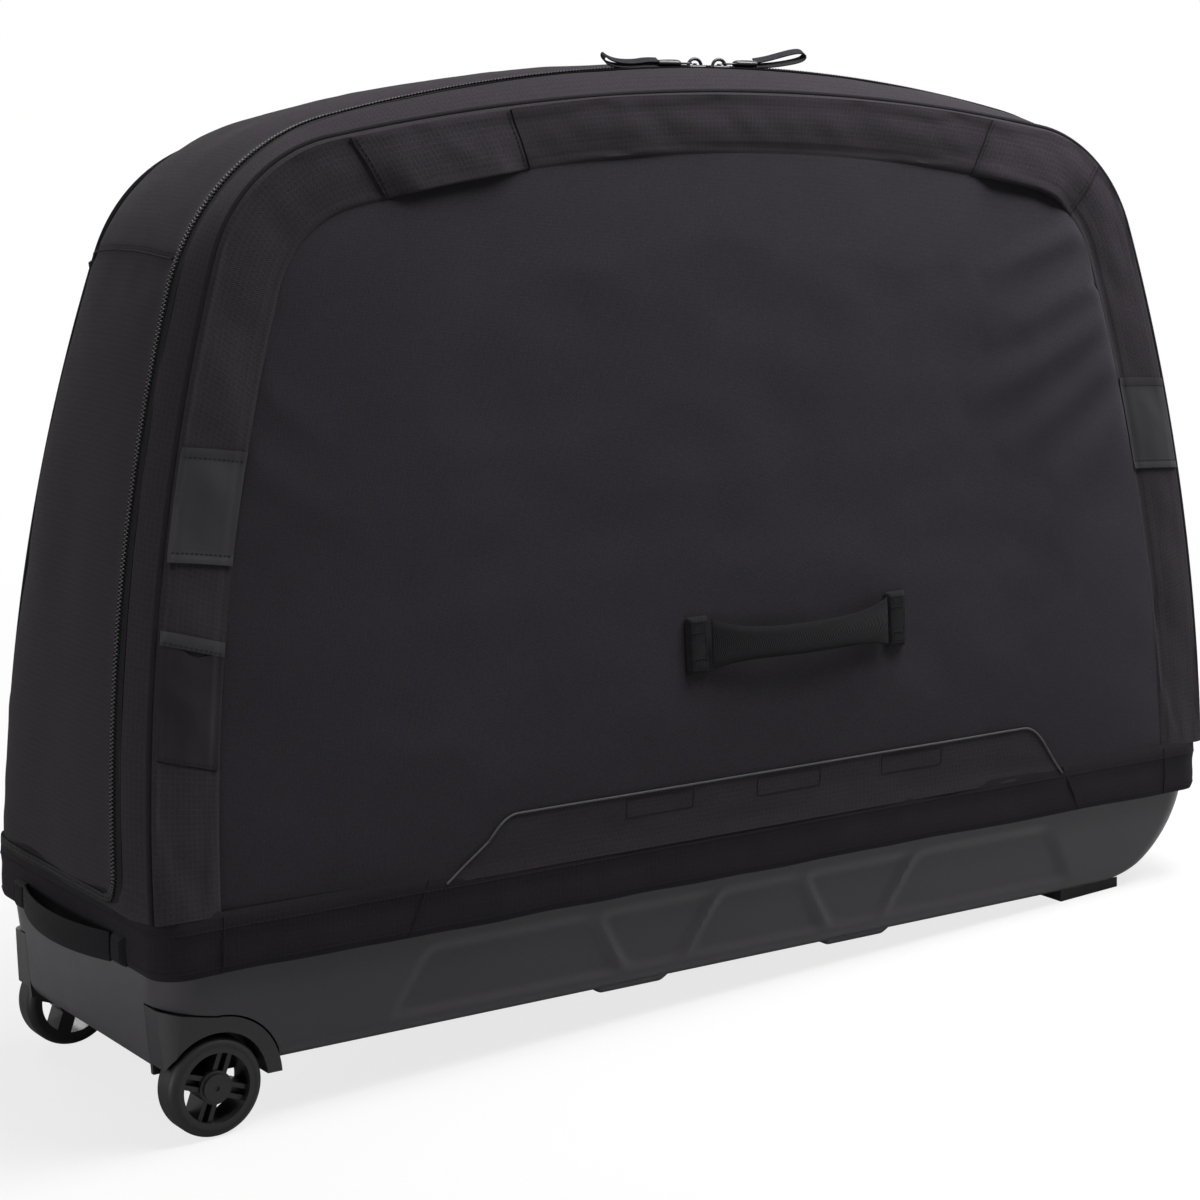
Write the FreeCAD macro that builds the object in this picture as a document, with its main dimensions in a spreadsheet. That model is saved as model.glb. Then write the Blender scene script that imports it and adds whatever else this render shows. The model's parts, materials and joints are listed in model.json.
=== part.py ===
"""Bike travel case: a moulded, wheeled tub under a soft zipped shell whose back half folds open."""
import FreeCAD, Part
import math
import os
from collections import namedtuple

import Sketcher
from FreeCAD import Placement, Rotation, Vector

doc = FreeCAD.newDocument("bike_travel_case")

# Driving sizes, in millimetres and degrees.
# The case is drawn level, z = 0 at the wheels' lowest point, x along its length, front face towards -y.
SIZES = {
    # soft shell: front and back panels lean towards each other above the hem
    "half_depth": 188.0,
    "lean_angle": 4.26,
    "hem_height": 160.0,
    "hem_band_height": 52.0,
    "hem_wall": 4.0,
    "hem_tuck": 0.2,
    "seat_gap": 0.3,
    # arch outline of the panels, measured up the leaning panel from the hem line
    "shell_overhang": 5.0,
    "panel_rise": 783.0,
    "panel_widest": 40.0,
    "side_radius": 1900.0,
    "corner_radius": 160.0,
    "top_radius": 2400.0,
    "panel_thickness": 14.0,
    "panel_crown": 1.5,
    "board_thickness": 3.0,
    "board_inset": 13.0,
    # sewn outline between the rim and the main panel
    "rim_side_width": 66.0,
    "rim_top_width": 60.0,
    "seam_widest": 20.0,
    "seam_corner": 110.0,
    "seam_top_radius": 2000.0,
    "seam_gap": 0.3,
    # piping
    "piping_thickness": 5.0,
    "piping_proud": 2.5,
    "piping_flange": 8.0,
    # zip, and how far the shell swells between its edges and the zip
    "zip_depth": 52.0,
    "zip_gap": 0.8,
    "coil_width": 2.4,
    "coil_thickness": 4.0,
    "tape_width": 7.0,
    "tape_thickness": 2.0,
    "tape_sink": 2.0,
    "end_swell": 12.0,
    "crown_swell": 25.0,
    "swell_corner": 225.0,
    "swell_top_radius": 1900.0,
    "gusset_wall": 10.0,
    "back_tuck": 10.0,
    "back_fade": 0.15,
    "door_lift": 5.0,
    # tub
    "tub_half_length": 648.0,
    "tub_floor": 60.0,
    "tub_rim": 190.0,
    "tub_wall": 4.0,
    "tub_corner": 48.0,
    "tub_draft_angle": 5.9,
    "tub_end_slope": 10.0,
    "tub_sweep": 115.0,
    "tub_bilge": 14.0,
    "emboss_depth": 1.8,
    "emboss_low": 9.0,
    "emboss_high": 66.0,
    "emboss_middle": 28.0,
    "emboss_long": 250.0,
    "emboss_short": 163.0,
    "emboss_between": 96.0,
    "emboss_slant": 34.0,
    "emboss_rib": 17.0,
    "skid_length": 76.0,
    "skid_width": 316.0,
    "skid_drop": 6.0,
    "skid_spread": 145.0,
    # rim strip and rivets inside the tub
    "strip_height": 18.0,
    "strip_thickness": 2.5,
    "rivet_radius": 2.4,
    "rivet_head_radius": 5.0,
    "rivet_head": 1.6,
    "rivet_pitch": 180.0,
    "rivet_fit": 0.05,
    # wheels, their housings, axles and bearings
    "wheel_end_inset": 57.0,
    "wheel_radius": 47.5,
    "wheel_width": 32.0,
    "wheel_inset": 15.0,
    "tyre_wall": 9.0,
    "tyre_crown": 8.0,
    "tyre_fit": 0.02,
    "core_rim": 5.0,
    "hub_radius": 16.0,
    "spoke_width": 15.0,
    "spoke_count": 4,
    "spoke_turn": 20.0,
    "spoke_recess": 5.0,
    "groove_width": 6.0,
    "groove_depth": 8.0,
    "bearing_radius": 11.0,
    "bearing_width": 7.0,
    "bearing_fit": 0.02,
    "axle_radius": 4.0,
    "axle_fit": 0.05,
    "axle_head_radius": 6.5,
    "axle_head": 2.0,
    "spacer_wall": 1.8,
    "cap_radius": 13.0,
    "cap_thickness": 2.6,
    "cap_gap": 0.3,
    "socket_width": 5.0,
    "housing_radius": 68.0,
    "housing_shoulder": 80.0,
    "housing_wall": 5.0,
    "housing_drop": 9.0,
    "boss_radius": 14.0,
    "housing_gap": 0.3,
    "wheel_room": 5.5,
    "wheel_side_room": 2.0,
    "nut_flats": 13.0,
    "nut_thickness": 6.5,
    # glide feet
    "foot_end_inset": 143.0,
    "foot_drop": 9.0,
    "foot_length": 86.0,
    "foot_width": 40.0,
    "foot_spread": 142.0,
    # front flap, rim patches and pocket
    "flap_low_left": 354.0,
    "flap_low_right": 432.0,
    "flap_top_left": 300.0,
    "flap_top_right": 400.0,
    "flap_rise": 103.0,
    "flap_thickness": 2.0,
    "patch_low": 366.0,
    "patch_high": 474.0,
    "patch_thickness": 1.2,
    "pocket_low": 190.0,
    "pocket_high": 312.0,
    "pocket_thickness": 1.6,
    "rim_trim": 6.0,
    # padded grips let into the rim
    "grip_left_inset": 245.0,
    "grip_left_length": 173.0,
    "grip_right_inset": 145.0,
    "grip_right_length": 148.0,
    "grip_opening": 7.0,
    "grip_edge": 12.0,
    "grip_wall": 3.0,
    # webbing handles
    "webbing_thickness": 3.0,
    "handle_middle": 65.0,
    "handle_rise": 242.0,
    "handle_span": 214.0,
    "handle_bow": 24.0,
    "handle_width": 36.0,
    "handle_standoff": 4.2,
    "anchor_width": 24.0,
    "anchor_height": 58.0,
    "anchor_gap": 0.4,
    "end_handle_span": 190.0,
    "end_handle_bow": 15.0,
    "end_handle_width": 28.0,
    "end_handle_height": 174.0,
    "end_handle_standoff": 3.4,
    "end_tab_width": 26.0,
    # zip sliders and pulls
    "slider_middle": 27.0,
    "slider_apart": 30.0,
    "slider_length": 22.0,
    "slider_width": 13.0,
    "slider_plate": 1.8,
    "slider_gap": 0.5,
    "slider_skirt": 1.4,
    "slider_skirt_wall": 1.4,
    "slider_side_gap": 0.6,
    "bail_length": 8.0,
    "bail_height": 5.5,
    "bail_width": 4.0,
    "pin_offset": 5.0,
    "pin_level": 3.3,
    "pin_radius": 1.2,
    "pin_fit": 0.08,
    "eye_radius": 2.2,
    "pull_gap": 0.3,
    "pull_plate": 1.6,
    "pull_reach": 12.0,
    "ferrule_length": 28.0,
    "ferrule_width": 10.0,
    "ferrule_height": 7.0,
    "loop_length": 62.0,
    "loop_width": 8.0,
    "loop_thickness": 1.4,
    "loop_radius": 2.6,
    # bike mount inside the tub
    "rail_end_gap": 148.0,
    "rail_width": 50.0,
    "rail_height": 18.0,
    "rail_wall": 3.0,
    "rail_slot": 12.0,
    "rail_bolt_radius": 4.0,
    "rail_bolt_head": 3.0,
    "rail_bolt_inset": 60.0,
    "mount_end_gap": 170.0,
    "mount_length": 60.0,
    "mount_height": 84.0,
    "mount_wall": 12.0,
    "fork_axle_radius": 6.0,
    "fork_axle_length": 110.0,
    "cradle_place": -70.0,
    "cradle_length": 70.0,
    "cradle_width": 44.0,
    "cradle_height": 96.0,
    "saddle_radius": 26.0,
    "saddle_pad": 3.0,
}

sheet = doc.addObject("Spreadsheet::Sheet", "Sizes")
for row, (alias, number) in enumerate(SIZES.items(), start=1):
    sheet.set("A%d" % row, alias)
    sheet.set("B%d" % row, str(number))
    sheet.setAlias("B%d" % row, alias)
doc.recompute()


# Sizes that carry their own sheet expression
class Size:
    """A number with the expression that gives it in the sheet."""

    def __init__(self, value, text):
        self.value = value
        self.text = text

    def __add__(self, other):
        other = as_size(other)
        return Size(self.value + other.value, "(%s + %s)" % (self.text, other.text))

    def __sub__(self, other):
        other = as_size(other)
        return Size(self.value - other.value, "(%s - %s)" % (self.text, other.text))

    def __mul__(self, other):
        other = as_size(other)
        return Size(self.value * other.value, "(%s * %s)" % (self.text, other.text))

    def __truediv__(self, other):
        other = as_size(other)
        return Size(self.value / other.value, "(%s / %s)" % (self.text, other.text))

    def __neg__(self):
        return Size(-self.value, "(0 - %s)" % self.text)


def as_size(number):
    """Gives a plain number the form of a Size."""
    return number if isinstance(number, Size) else Size(float(number), "(%r)" % float(number))


def sine(angle):
    return Size(math.sin(math.radians(angle.value)), "sin(%s)" % angle.text)


def cosine(angle):
    return Size(math.cos(math.radians(angle.value)), "cos(%s)" % angle.text)


def root(size):
    return Size(math.sqrt(size.value), "sqrt(%s)" % size.text)


S = namedtuple("S", SIZES)(*[Size(float(sheet.get(alias)), "Sizes." + alias) for alias in SIZES])
ZERO = as_size(0)


# Placing and binding
Frame = namedtuple("Frame", "x y z axis angle")
X_AXIS = Vector(1, 0, 0)
Y_AXIS = Vector(0, 1, 0)
Z_AXIS = Vector(0, 0, 1)
CYCLE_AXIS = Vector(1, 1, 1)


def bind(item, prop, size):
    """Sets a property and ties it to the sheet."""
    setattr(item, prop, size.value)
    item.setExpression(prop, size.text)


def put(item, frame):
    """Places an object in a frame whose origin and angle come from the sheet."""
    spot = Vector(frame.x.value, frame.y.value, frame.z.value)
    item.Placement = Placement(spot, Rotation(frame.axis, frame.angle.value))
    for letter, size in zip("xyz", (frame.x, frame.y, frame.z)):
        item.setExpression("Placement.Base." + letter, size.text)
    item.setExpression("Placement.Rotation.Angle", frame.angle.text)
    return item


def flat(z):
    """A level frame: local x, y, z are the case's own."""
    return Frame(ZERO, ZERO, z, X_AXIS, ZERO)


def upright(y):
    """Faces the front: local x is x, local y is z, local z points to -y."""
    return Frame(ZERO, y, ZERO, X_AXIS, as_size(90))


def crosswise(x):
    """Looks along the case: local x is y, local y is z, local z is x."""
    return Frame(x, ZERO, ZERO, CYCLE_AXIS, as_size(120))


def front_plane(depth):
    """The leaning front plane moved inwards by depth: local y runs up it, local z points out."""
    y = depth * cosine(S.lean_angle) - S.half_depth
    z = S.hem_height - depth * sine(S.lean_angle)
    return Frame(ZERO, y, z, X_AXIS, as_size(90) - S.lean_angle)


def back_plane(depth):
    """The leaning back plane moved inwards by depth: local y runs up it, local z points in."""
    y = S.half_depth - depth * cosine(S.lean_angle)
    z = S.hem_height - depth * sine(S.lean_angle)
    return Frame(ZERO, y, z, X_AXIS, as_size(90) + S.lean_angle)


# Sketching
CONSTRAINT = Sketcher.Constraint
TOLERANCE = 0.001


def drive(sketch, size, kind, *where):
    """Adds a constraint whose value follows the sheet."""
    index = sketch.addConstraint(CONSTRAINT(kind, *where, size.value))
    sketch.setExpression("Constraints[%d]" % index, size.text)


def pin(sketch, geometry, point, x, y):
    """Holds a point of the sketch at (x, y) from its origin."""
    for kind, size, own_axis in (("DistanceX", x, -2), ("DistanceY", y, -1)):
        if size.value == 0:
            sketch.addConstraint(CONSTRAINT("PointOnObject", geometry, point, own_axis))
        elif size.value > 0:
            drive(sketch, size, kind, -1, 1, geometry, point)
        else:
            drive(sketch, -size, kind, geometry, point, -1, 1)


def draw_polygon(sketch, corners):
    """Draws a closed polygon through corners given as pairs of sizes."""
    start = sketch.GeometryCount
    spots = [Vector(x.value, y.value, 0) for x, y in corners]
    count = len(spots)
    for index in range(count):
        sketch.addGeometry(Part.LineSegment(spots[index], spots[(index + 1) % count]))
    for index, (x, y) in enumerate(corners):
        pin(sketch, start + index, 1, x, y)
        sketch.addConstraint(CONSTRAINT("Coincident", start + index, 2, start + (index + 1) % count, 1))


def draw_circle(sketch, x, y, radius):
    """Draws one full circle."""
    index = sketch.addGeometry(Part.Circle(Vector(x.value, y.value, 0), Z_AXIS, radius.value))
    pin(sketch, index, 3, x, y)
    drive(sketch, radius, "Radius", index)


def arc(centre, radius, start, end):
    """An arc run anticlockwise from start to end."""
    first = math.atan2(start.y - centre.y, start.x - centre.x)
    last = math.atan2(end.y - centre.y, end.x - centre.x)
    if last < first:
        last += 2 * math.pi
    return Part.ArcOfCircle(Part.Circle(centre, Z_AXIS, radius), first, last)


class Arch(namedtuple("Arch", "half_length rise widest side corner top")):
    """A panel outline: bowed sides, round shoulders and a shallow top arc."""

    def inset(self, gap):
        return Arch(self.half_length - gap, self.rise - gap, self.widest,
                    self.side - gap, self.corner - gap, self.top - gap)

    def draw(self, sketch, base):
        side, corner, top = self.side.value, self.corner.value, self.top.value
        side_centre = Vector(self.half_length.value - side, self.widest.value, 0)
        top_centre = Vector(0, self.rise.value - top, 0)
        apart = top_centre - side_centre
        along = apart / apart.Length
        across = Vector(-along.y, along.x, 0)
        near = (side - corner) ** 2
        far = (top - corner) ** 2
        step = (near - far + apart.Length ** 2) / (2 * apart.Length)
        foot = side_centre + along * step
        height = math.sqrt(near - step ** 2)
        choices = (foot + across * height, foot - across * height)
        corner_centre = max(choices, key=lambda spot: spot.x + spot.y)
        half_width = math.sqrt(side ** 2 - (base.value - self.widest.value) ** 2)
        low = Vector(side_centre.x + half_width, base.value, 0)
        shoulder = side_centre + (corner_centre - side_centre) * (side / (side - corner))
        brow = top_centre + (corner_centre - top_centre) * (top / (top - corner))
        low_left, shoulder_left, brow_left, side_left, corner_left = [
            Vector(-spot.x, spot.y, 0) for spot in (low, shoulder, brow, side_centre, corner_centre)]
        sketch.addGeometry([
            arc(side_centre, side, low, shoulder),
            arc(corner_centre, corner, shoulder, brow),
            arc(top_centre, top, brow, brow_left),
            arc(corner_left, corner, brow_left, shoulder_left),
            arc(side_left, side, shoulder_left, low_left),
            Part.LineSegment(low_left, low)])
        for index in range(4):
            sketch.addConstraint(CONSTRAINT("Tangent", index, 2, index + 1, 1))
        sketch.addConstraint([
            CONSTRAINT("Coincident", 4, 2, 5, 1),
            CONSTRAINT("Coincident", 5, 2, 0, 1),
            CONSTRAINT("Equal", 0, 4),
            CONSTRAINT("Equal", 1, 3),
            CONSTRAINT("Horizontal", 5),
            CONSTRAINT("Horizontal", 0, 3, 4, 3),
            CONSTRAINT("PointOnObject", 2, 3, -2)])
        drive(sketch, self.side, "Radius", 0)
        drive(sketch, self.corner, "Radius", 1)
        drive(sketch, self.top, "Radius", 2)
        drive(sketch, self.side - self.half_length, "DistanceX", 0, 3, -1, 1)
        drive(sketch, self.side - self.half_length, "DistanceX", -1, 1, 4, 3)
        drive(sketch, self.widest, "DistanceY", -1, 1, 0, 3)
        drive(sketch, self.top - self.rise, "DistanceY", 2, 3, -1, 1)
        drive(sketch, base, "DistanceY", -1, 1, 5, 1)


def strap_radius(span, bow):
    """Radius of a strap's inner face that rises to a bow in the middle of its span."""
    return (span * span / 4 + bow * bow) / (bow * 2)


def strap_reach(span, bow, thickness):
    """Half the length that a bowed strap takes up where its ends meet their seat."""
    radius = strap_radius(span, bow)
    drop = radius - bow
    outer = radius + thickness
    return root(outer * outer - drop * drop)


def draw_strap(sketch, span, bow, thickness):
    """Draws a webbing strap edge on: two parallel arcs over a span, joined at the ends."""
    half = span.value / 2
    radius = strap_radius(span, bow)
    drop = radius - bow
    outer = radius + thickness
    reach = strap_reach(span, bow, thickness).value
    centre = Vector(0, -drop.value, 0)
    sketch.addGeometry([
        arc(centre, outer.value, Vector(reach, 0, 0), Vector(-reach, 0, 0)),
        Part.LineSegment(Vector(-reach, 0, 0), Vector(-half, 0, 0)),
        arc(centre, radius.value, Vector(half, 0, 0), Vector(-half, 0, 0)),
        Part.LineSegment(Vector(half, 0, 0), Vector(reach, 0, 0))])
    sketch.addConstraint([
        CONSTRAINT("Coincident", 0, 2, 1, 1),
        CONSTRAINT("Coincident", 1, 2, 2, 2),
        CONSTRAINT("Coincident", 2, 1, 3, 1),
        CONSTRAINT("Coincident", 3, 2, 0, 1),
        CONSTRAINT("Coincident", 0, 3, 2, 3),
        CONSTRAINT("PointOnObject", 0, 1, -1),
        CONSTRAINT("PointOnObject", 0, 2, -1),
        CONSTRAINT("PointOnObject", 2, 1, -1),
        CONSTRAINT("PointOnObject", 2, 2, -1),
        CONSTRAINT("PointOnObject", 0, 3, -2)])
    drive(sketch, outer, "Radius", 0)
    drive(sketch, radius, "Radius", 2)
    drive(sketch, drop, "DistanceY", 0, 3, -1, 1)


# Solids
def padded(name, draw, length, frame):
    """A body padded from one sketch along its frame's local z."""
    body = doc.addObject("PartDesign::Body", name)
    sketch = body.newObject("Sketcher::SketchObject", name + "_outline")
    plane = next(item for item in body.Origin.OriginFeatures if item.Role == "XY_Plane")
    sketch.AttachmentSupport = (plane, [""])
    sketch.MapMode = "FlatFace"
    draw(sketch)
    pad = body.newObject("PartDesign::Pad", name + "_pad")
    pad.Profile = sketch
    bind(pad, "Length", length)
    return put(body, frame)


def rounded(body, radius, wanted):
    """Fillets the edges of a body's tip that the test picks."""
    doc.recompute()
    tip = body.Tip
    names = ["Edge%d" % index for index, edge in enumerate(tip.Shape.Edges, start=1) if wanted(edge)]
    fillet = body.newObject("PartDesign::Fillet", body.Name + "_round%d" % len(body.Group))
    fillet.Base = (tip, names)
    bind(fillet, "Radius", radius)
    return body


def stands_up(edge):
    """True for a straight edge along the local z of its body."""
    return isinstance(edge.Curve, Part.Line) and abs(edge.tangentAt(edge.FirstParameter).z) > 1 - TOLERANCE


def box(name, length, width, height, frame):
    item = doc.addObject("Part::Box", name)
    bind(item, "Length", length)
    bind(item, "Width", width)
    bind(item, "Height", height)
    return put(item, frame)


def cylinder(name, radius, height, frame):
    item = doc.addObject("Part::Cylinder", name)
    bind(item, "Radius", radius)
    bind(item, "Height", height)
    return put(item, frame)


def cut(name, base, *tools):
    """Takes one or more solids away from another."""
    tool = tools[0] if len(tools) == 1 else fuse(name + "_tools", *tools)
    item = doc.addObject("Part::Cut", name)
    item.Base = base
    item.Tool = tool
    return item


def fuse(name, *items):
    item = doc.addObject("Part::MultiFuse", name)
    item.Shapes = list(items)
    return item


def common(name, *items):
    item = doc.addObject("Part::MultiCommon", name)
    item.Shapes = list(items)
    return item


def group(name, items):
    """Like pieces kept together as one node of separate solids."""
    item = doc.addObject("Part::Compound", name)
    item.Links = items
    return item


nodes = []


def node(label, item):
    """Names a finished piece; its label is its file's name."""
    item.Label = label
    nodes.append(item)
    return item


# Panels, rings and swollen bands of the soft shell
def low_edge(depth):
    """Where a layer starts on its panel, so that its deepest edge clears the hem band."""
    above_hem = S.hem_band_height + S.seat_gap + depth * sine(S.lean_angle)
    return above_hem / cosine(S.lean_angle)


panel_half_length = S.tub_half_length + S.shell_overhang
PANEL = Arch(panel_half_length, S.panel_rise, S.panel_widest, S.side_radius, S.corner_radius, S.top_radius)
SEAM = Arch(panel_half_length - S.rim_side_width, S.panel_rise - S.rim_top_width, S.seam_widest,
            S.side_radius, S.seam_corner, S.seam_top_radius)
SWELL = Arch(panel_half_length + S.end_swell, S.panel_rise + S.crown_swell, S.panel_widest,
             S.side_radius, S.swell_corner, S.swell_top_radius)
FRONT, BACK = -1, 1
OVERCUT = as_size(20)


def plate(name, side, draw, near, far):
    """A flat piece on a leaning panel between two depths below its face."""
    frame = front_plane(far) if side == FRONT else back_plane(near)
    return padded(name, draw, far - near, frame)


def layer(name, side, outline, near, far, base):
    """A flat piece with an arch outline."""
    def draw(sketch):
        outline.draw(sketch, base)
    return plate(name, side, draw, near, far)


def ring(name, side, outline, inner, near, far, base):
    """An arch-shaped band: one layer less another that runs out below it."""
    outside = layer(name + "_outside", side, outline, near, far, base)
    inside = layer(name + "_inside", side, inner, near - OVERCUT, far + OVERCUT, base - OVERCUT)
    return cut(name, outside, inside)


def section(name, frame, outline, base):
    """One outline standing in the shell, for a loft."""
    sketch = doc.addObject("Sketcher::SketchObject", name)
    outline.draw(sketch, base)
    return put(sketch, frame)


def loft(name, stations):
    """A ruled solid through outlines, each given as frame, outline and base."""
    item = doc.addObject("Part::Loft", name)
    item.Sections = [section("%s_%d" % (name, index), *station) for index, station in enumerate(stations)]
    item.Solid = True
    item.Ruled = True
    return item


def swollen(name, stations, wall):
    """A band of even wall through outlines, open at the foot."""
    inner = [(frame, outline.inset(wall), base - OVERCUT) for frame, outline, base in stations]
    return cut(name, loft(name + "_outside", stations), loft(name + "_inside", inner))


def between(first, second, share):
    """An outline part way from one arch to another."""
    return Arch(*[a + (b - a) * share for a, b in zip(first, second)])


coil_edge = S.zip_gap / 2
front_coil_far = S.zip_depth - coil_edge
front_coil_near = front_coil_far - S.coil_width
front_tape_near = front_coil_near - S.tape_width
strip_near = S.panel_thickness + S.piping_thickness
rear_coil_near = S.zip_depth + coil_edge
rear_coil_far = rear_coil_near + S.coil_width
rear_tape_far = rear_coil_far + S.tape_width
tape_outline = SWELL.inset(S.tape_sink)
band_base = low_edge(front_coil_far)


def door_edge(depth):
    """Where a layer of the door starts on its panel, level all round above the hinge binding."""
    return low_edge(depth) + S.door_lift / cosine(S.lean_angle)


# Front half of the shell, sewn to the hem all round
panel_base = low_edge(S.panel_thickness + S.board_thickness)
node("front_rim", ring("front_rim", FRONT, PANEL, SEAM, ZERO, S.panel_thickness, panel_base))
front_panel = layer("front_panel", FRONT, SEAM.inset(S.seam_gap), -S.panel_crown, S.panel_thickness, panel_base)
node("front_panel", front_panel)
board_far = S.panel_thickness + S.board_thickness
node("front_board", layer("front_board", FRONT, PANEL.inset(S.board_inset), S.panel_thickness, board_far,
                          panel_base))
piping_outline = PANEL.inset(-S.piping_proud)
node("front_piping", ring("front_piping", FRONT, piping_outline, PANEL.inset(S.piping_flange),
                          S.panel_thickness, strip_near, low_edge(strip_near)))
node("front_gusset", swollen("front_gusset", [
    (front_plane(strip_near), PANEL, band_base),
    (front_plane(front_tape_near), SWELL, band_base)], S.gusset_wall))
node("front_zip_tape", ring("front_zip_tape", FRONT, tape_outline, tape_outline.inset(S.tape_thickness),
                            front_tape_near, front_coil_near, band_base))
node("front_zip_coil", ring("front_zip_coil", FRONT, SWELL, SWELL.inset(S.coil_thickness),
                            front_coil_near, front_coil_far, band_base))

# Back half of the shell: the door, hinged along its lower back edge
TUCK = PANEL.inset(S.back_tuck)
back_near = S.panel_thickness + S.piping_thickness
centre_outline = Arch(SWELL.half_length, S.panel_rise * cosine(S.lean_angle) + S.crown_swell, SWELL.widest,
                      SWELL.side, SWELL.corner, SWELL.top)
centre_frame = Frame(ZERO, ZERO, S.hem_height, X_AXIS, as_size(90))
centre_base = S.hem_band_height + S.seat_gap + S.door_lift
node("rear_zip_coil", ring("rear_zip_coil", FRONT, SWELL, SWELL.inset(S.coil_thickness),
                           rear_coil_near, rear_coil_far, door_edge(rear_coil_far)))
node("rear_zip_tape", ring("rear_zip_tape", FRONT, tape_outline, tape_outline.inset(S.tape_thickness),
                           rear_coil_far, rear_tape_far, door_edge(rear_tape_far)))
node("rear_gusset", swollen("rear_gusset", [
    (front_plane(rear_tape_far), SWELL, door_edge(rear_tape_far)),
    (centre_frame, centre_outline, centre_base),
    (back_plane(S.zip_depth), between(SWELL, TUCK, S.back_fade), door_edge(S.zip_depth)),
    (back_plane(back_near), TUCK, door_edge(back_near))], S.gusset_wall))
node("rear_piping", ring("rear_piping", BACK, TUCK.inset(-S.piping_proud), TUCK.inset(S.piping_flange),
                         S.panel_thickness, back_near, door_edge(back_near)))
node("rear_panel", layer("rear_panel", BACK, TUCK, ZERO, S.panel_thickness, door_edge(S.panel_thickness)))
node("rear_board", layer("rear_board", BACK, TUCK.inset(S.board_inset), S.panel_thickness, board_far,
                         door_edge(board_far)))

# Tub: one outline in plan, one from the side and one from the end, meeting in a common solid
hem_out = S.seat_gap + S.hem_wall
tub_half_width = S.half_depth - hem_out - S.hem_tuck
wall_height = S.tub_rim - S.tub_floor - S.tub_bilge
tub_draft = wall_height * sine(S.tub_draft_angle) / cosine(S.tub_draft_angle)


def plan_block(name, half_length, half_width, corner, low, high):
    def draw(sketch):
        draw_polygon(sketch, [(-half_length, -half_width), (half_length, -half_width),
                              (half_length, half_width), (-half_length, half_width)])
    return rounded(padded(name, draw, high - low, flat(low)), corner, stands_up)


def tub_block(name, wall, high):
    """The tub's outer form, set in by a wall."""
    half_length = S.tub_half_length - wall
    half_width = tub_half_width - wall
    floor = S.tub_floor + wall
    sweep = S.tub_sweep - wall
    above_rim = high - S.tub_rim
    plan = plan_block(name + "_plan", half_length, half_width, S.tub_corner - wall, S.tub_floor, high)

    def draw_side(sketch):
        end_low = half_length - S.tub_end_slope
        end_high = half_length + S.tub_end_slope * above_rim / (S.tub_rim - S.tub_floor)
        heel = Vector(half_length.value - sweep.value, floor.value, 0)
        toe = Vector(half_length.value, floor.value + sweep.value, 0)
        corners = [Vector(half_length.value, high.value, 0), Vector(-end_high.value, high.value, 0),
                   Vector(-end_low.value, floor.value, 0)]
        sketch.addGeometry([
            Part.LineSegment(toe, corners[0]),
            Part.LineSegment(corners[0], corners[1]),
            Part.LineSegment(corners[1], corners[2]),
            Part.LineSegment(corners[2], heel),
            arc(Vector(heel.x, toe.y, 0), sweep.value, heel, toe)])
        for index in range(3):
            sketch.addConstraint(CONSTRAINT("Coincident", index, 2, index + 1, 1))
        sketch.addConstraint([
            CONSTRAINT("Tangent", 3, 2, 4, 1),
            CONSTRAINT("Tangent", 4, 2, 0, 1),
            CONSTRAINT("Vertical", 0)])
        pin(sketch, 1, 1, half_length, high)
        pin(sketch, 2, 1, -end_high, high)
        pin(sketch, 3, 1, -end_low, floor)
        sketch.addConstraint(CONSTRAINT("Horizontal", 3))
        drive(sketch, sweep, "Radius", 4)

    def draw_end(sketch):
        low = half_width - tub_draft
        top = half_width + tub_draft * above_rim / wall_height
        draw_polygon(sketch, [
            (S.tub_bilge - low, floor), (low - S.tub_bilge, floor), (low, floor + S.tub_bilge),
            (top, high), (-top, high), (-low, floor + S.tub_bilge)])

    side = padded(name + "_side", draw_side, half_width * 2, upright(half_width))
    end = padded(name + "_end", draw_end, half_length * 2, crosswise(-half_length))
    return common(name, plan, side, end)


tub_outer = tub_block("tub_outer", ZERO, S.tub_rim)
tub_inner = tub_block("tub_inner", S.tub_wall, S.tub_rim + OVERCUT)

# Panels pressed into the long sides, alternately upright and inverted
wall_foot = tub_half_width - tub_draft
SIDES = ((FRONT, "front"), (BACK, "rear"))
ENDS = ((-1, "left"), (1, "right"))


def emboss_panels():
    """Corners of the five pressed panels, along the case and up the wall from its foot."""
    low = S.emboss_low
    high = S.emboss_high
    slant = S.emboss_slant
    half_short = S.emboss_short / 2
    half_between = S.emboss_between / 2
    between_middle = half_short + S.emboss_rib + half_between - slant / 2
    long_start = between_middle + half_between + S.emboss_rib - slant / 2
    left = S.emboss_middle - half_short
    right = S.emboss_middle + half_short
    panels = [[(left, low), (right, low), (right - slant, high), (left + slant, high)]]
    for way, _ in ENDS:
        middle = S.emboss_middle + between_middle * way
        narrow = half_between - slant / 2
        wide = half_between + slant / 2
        panels.append([(middle - narrow, low), (middle + narrow, low),
                       (middle + wide, high), (middle - wide, high)])
        inner = S.emboss_middle + long_start * way
        outer = inner + S.emboss_long * way
        panels.append([(inner, low), (outer, low), (outer - slant * way, high), (inner + slant * way, high)])
    return panels


def emboss(name, side):
    """A block for each pressed panel, sunk into the drafted wall."""
    def draw(sketch):
        for corners in emboss_panels():
            draw_polygon(sketch, corners)
    sunk = S.emboss_depth if side == FRONT else OVERCUT
    y = wall_foot * side + cosine(S.tub_draft_angle) * sunk
    z = S.tub_floor + S.tub_bilge - sine(S.tub_draft_angle) * sunk * side
    turn = as_size(90) - S.tub_draft_angle * side
    return padded(name, draw, S.emboss_depth + OVERCUT, Frame(ZERO, y, z, X_AXIS, turn))


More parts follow.
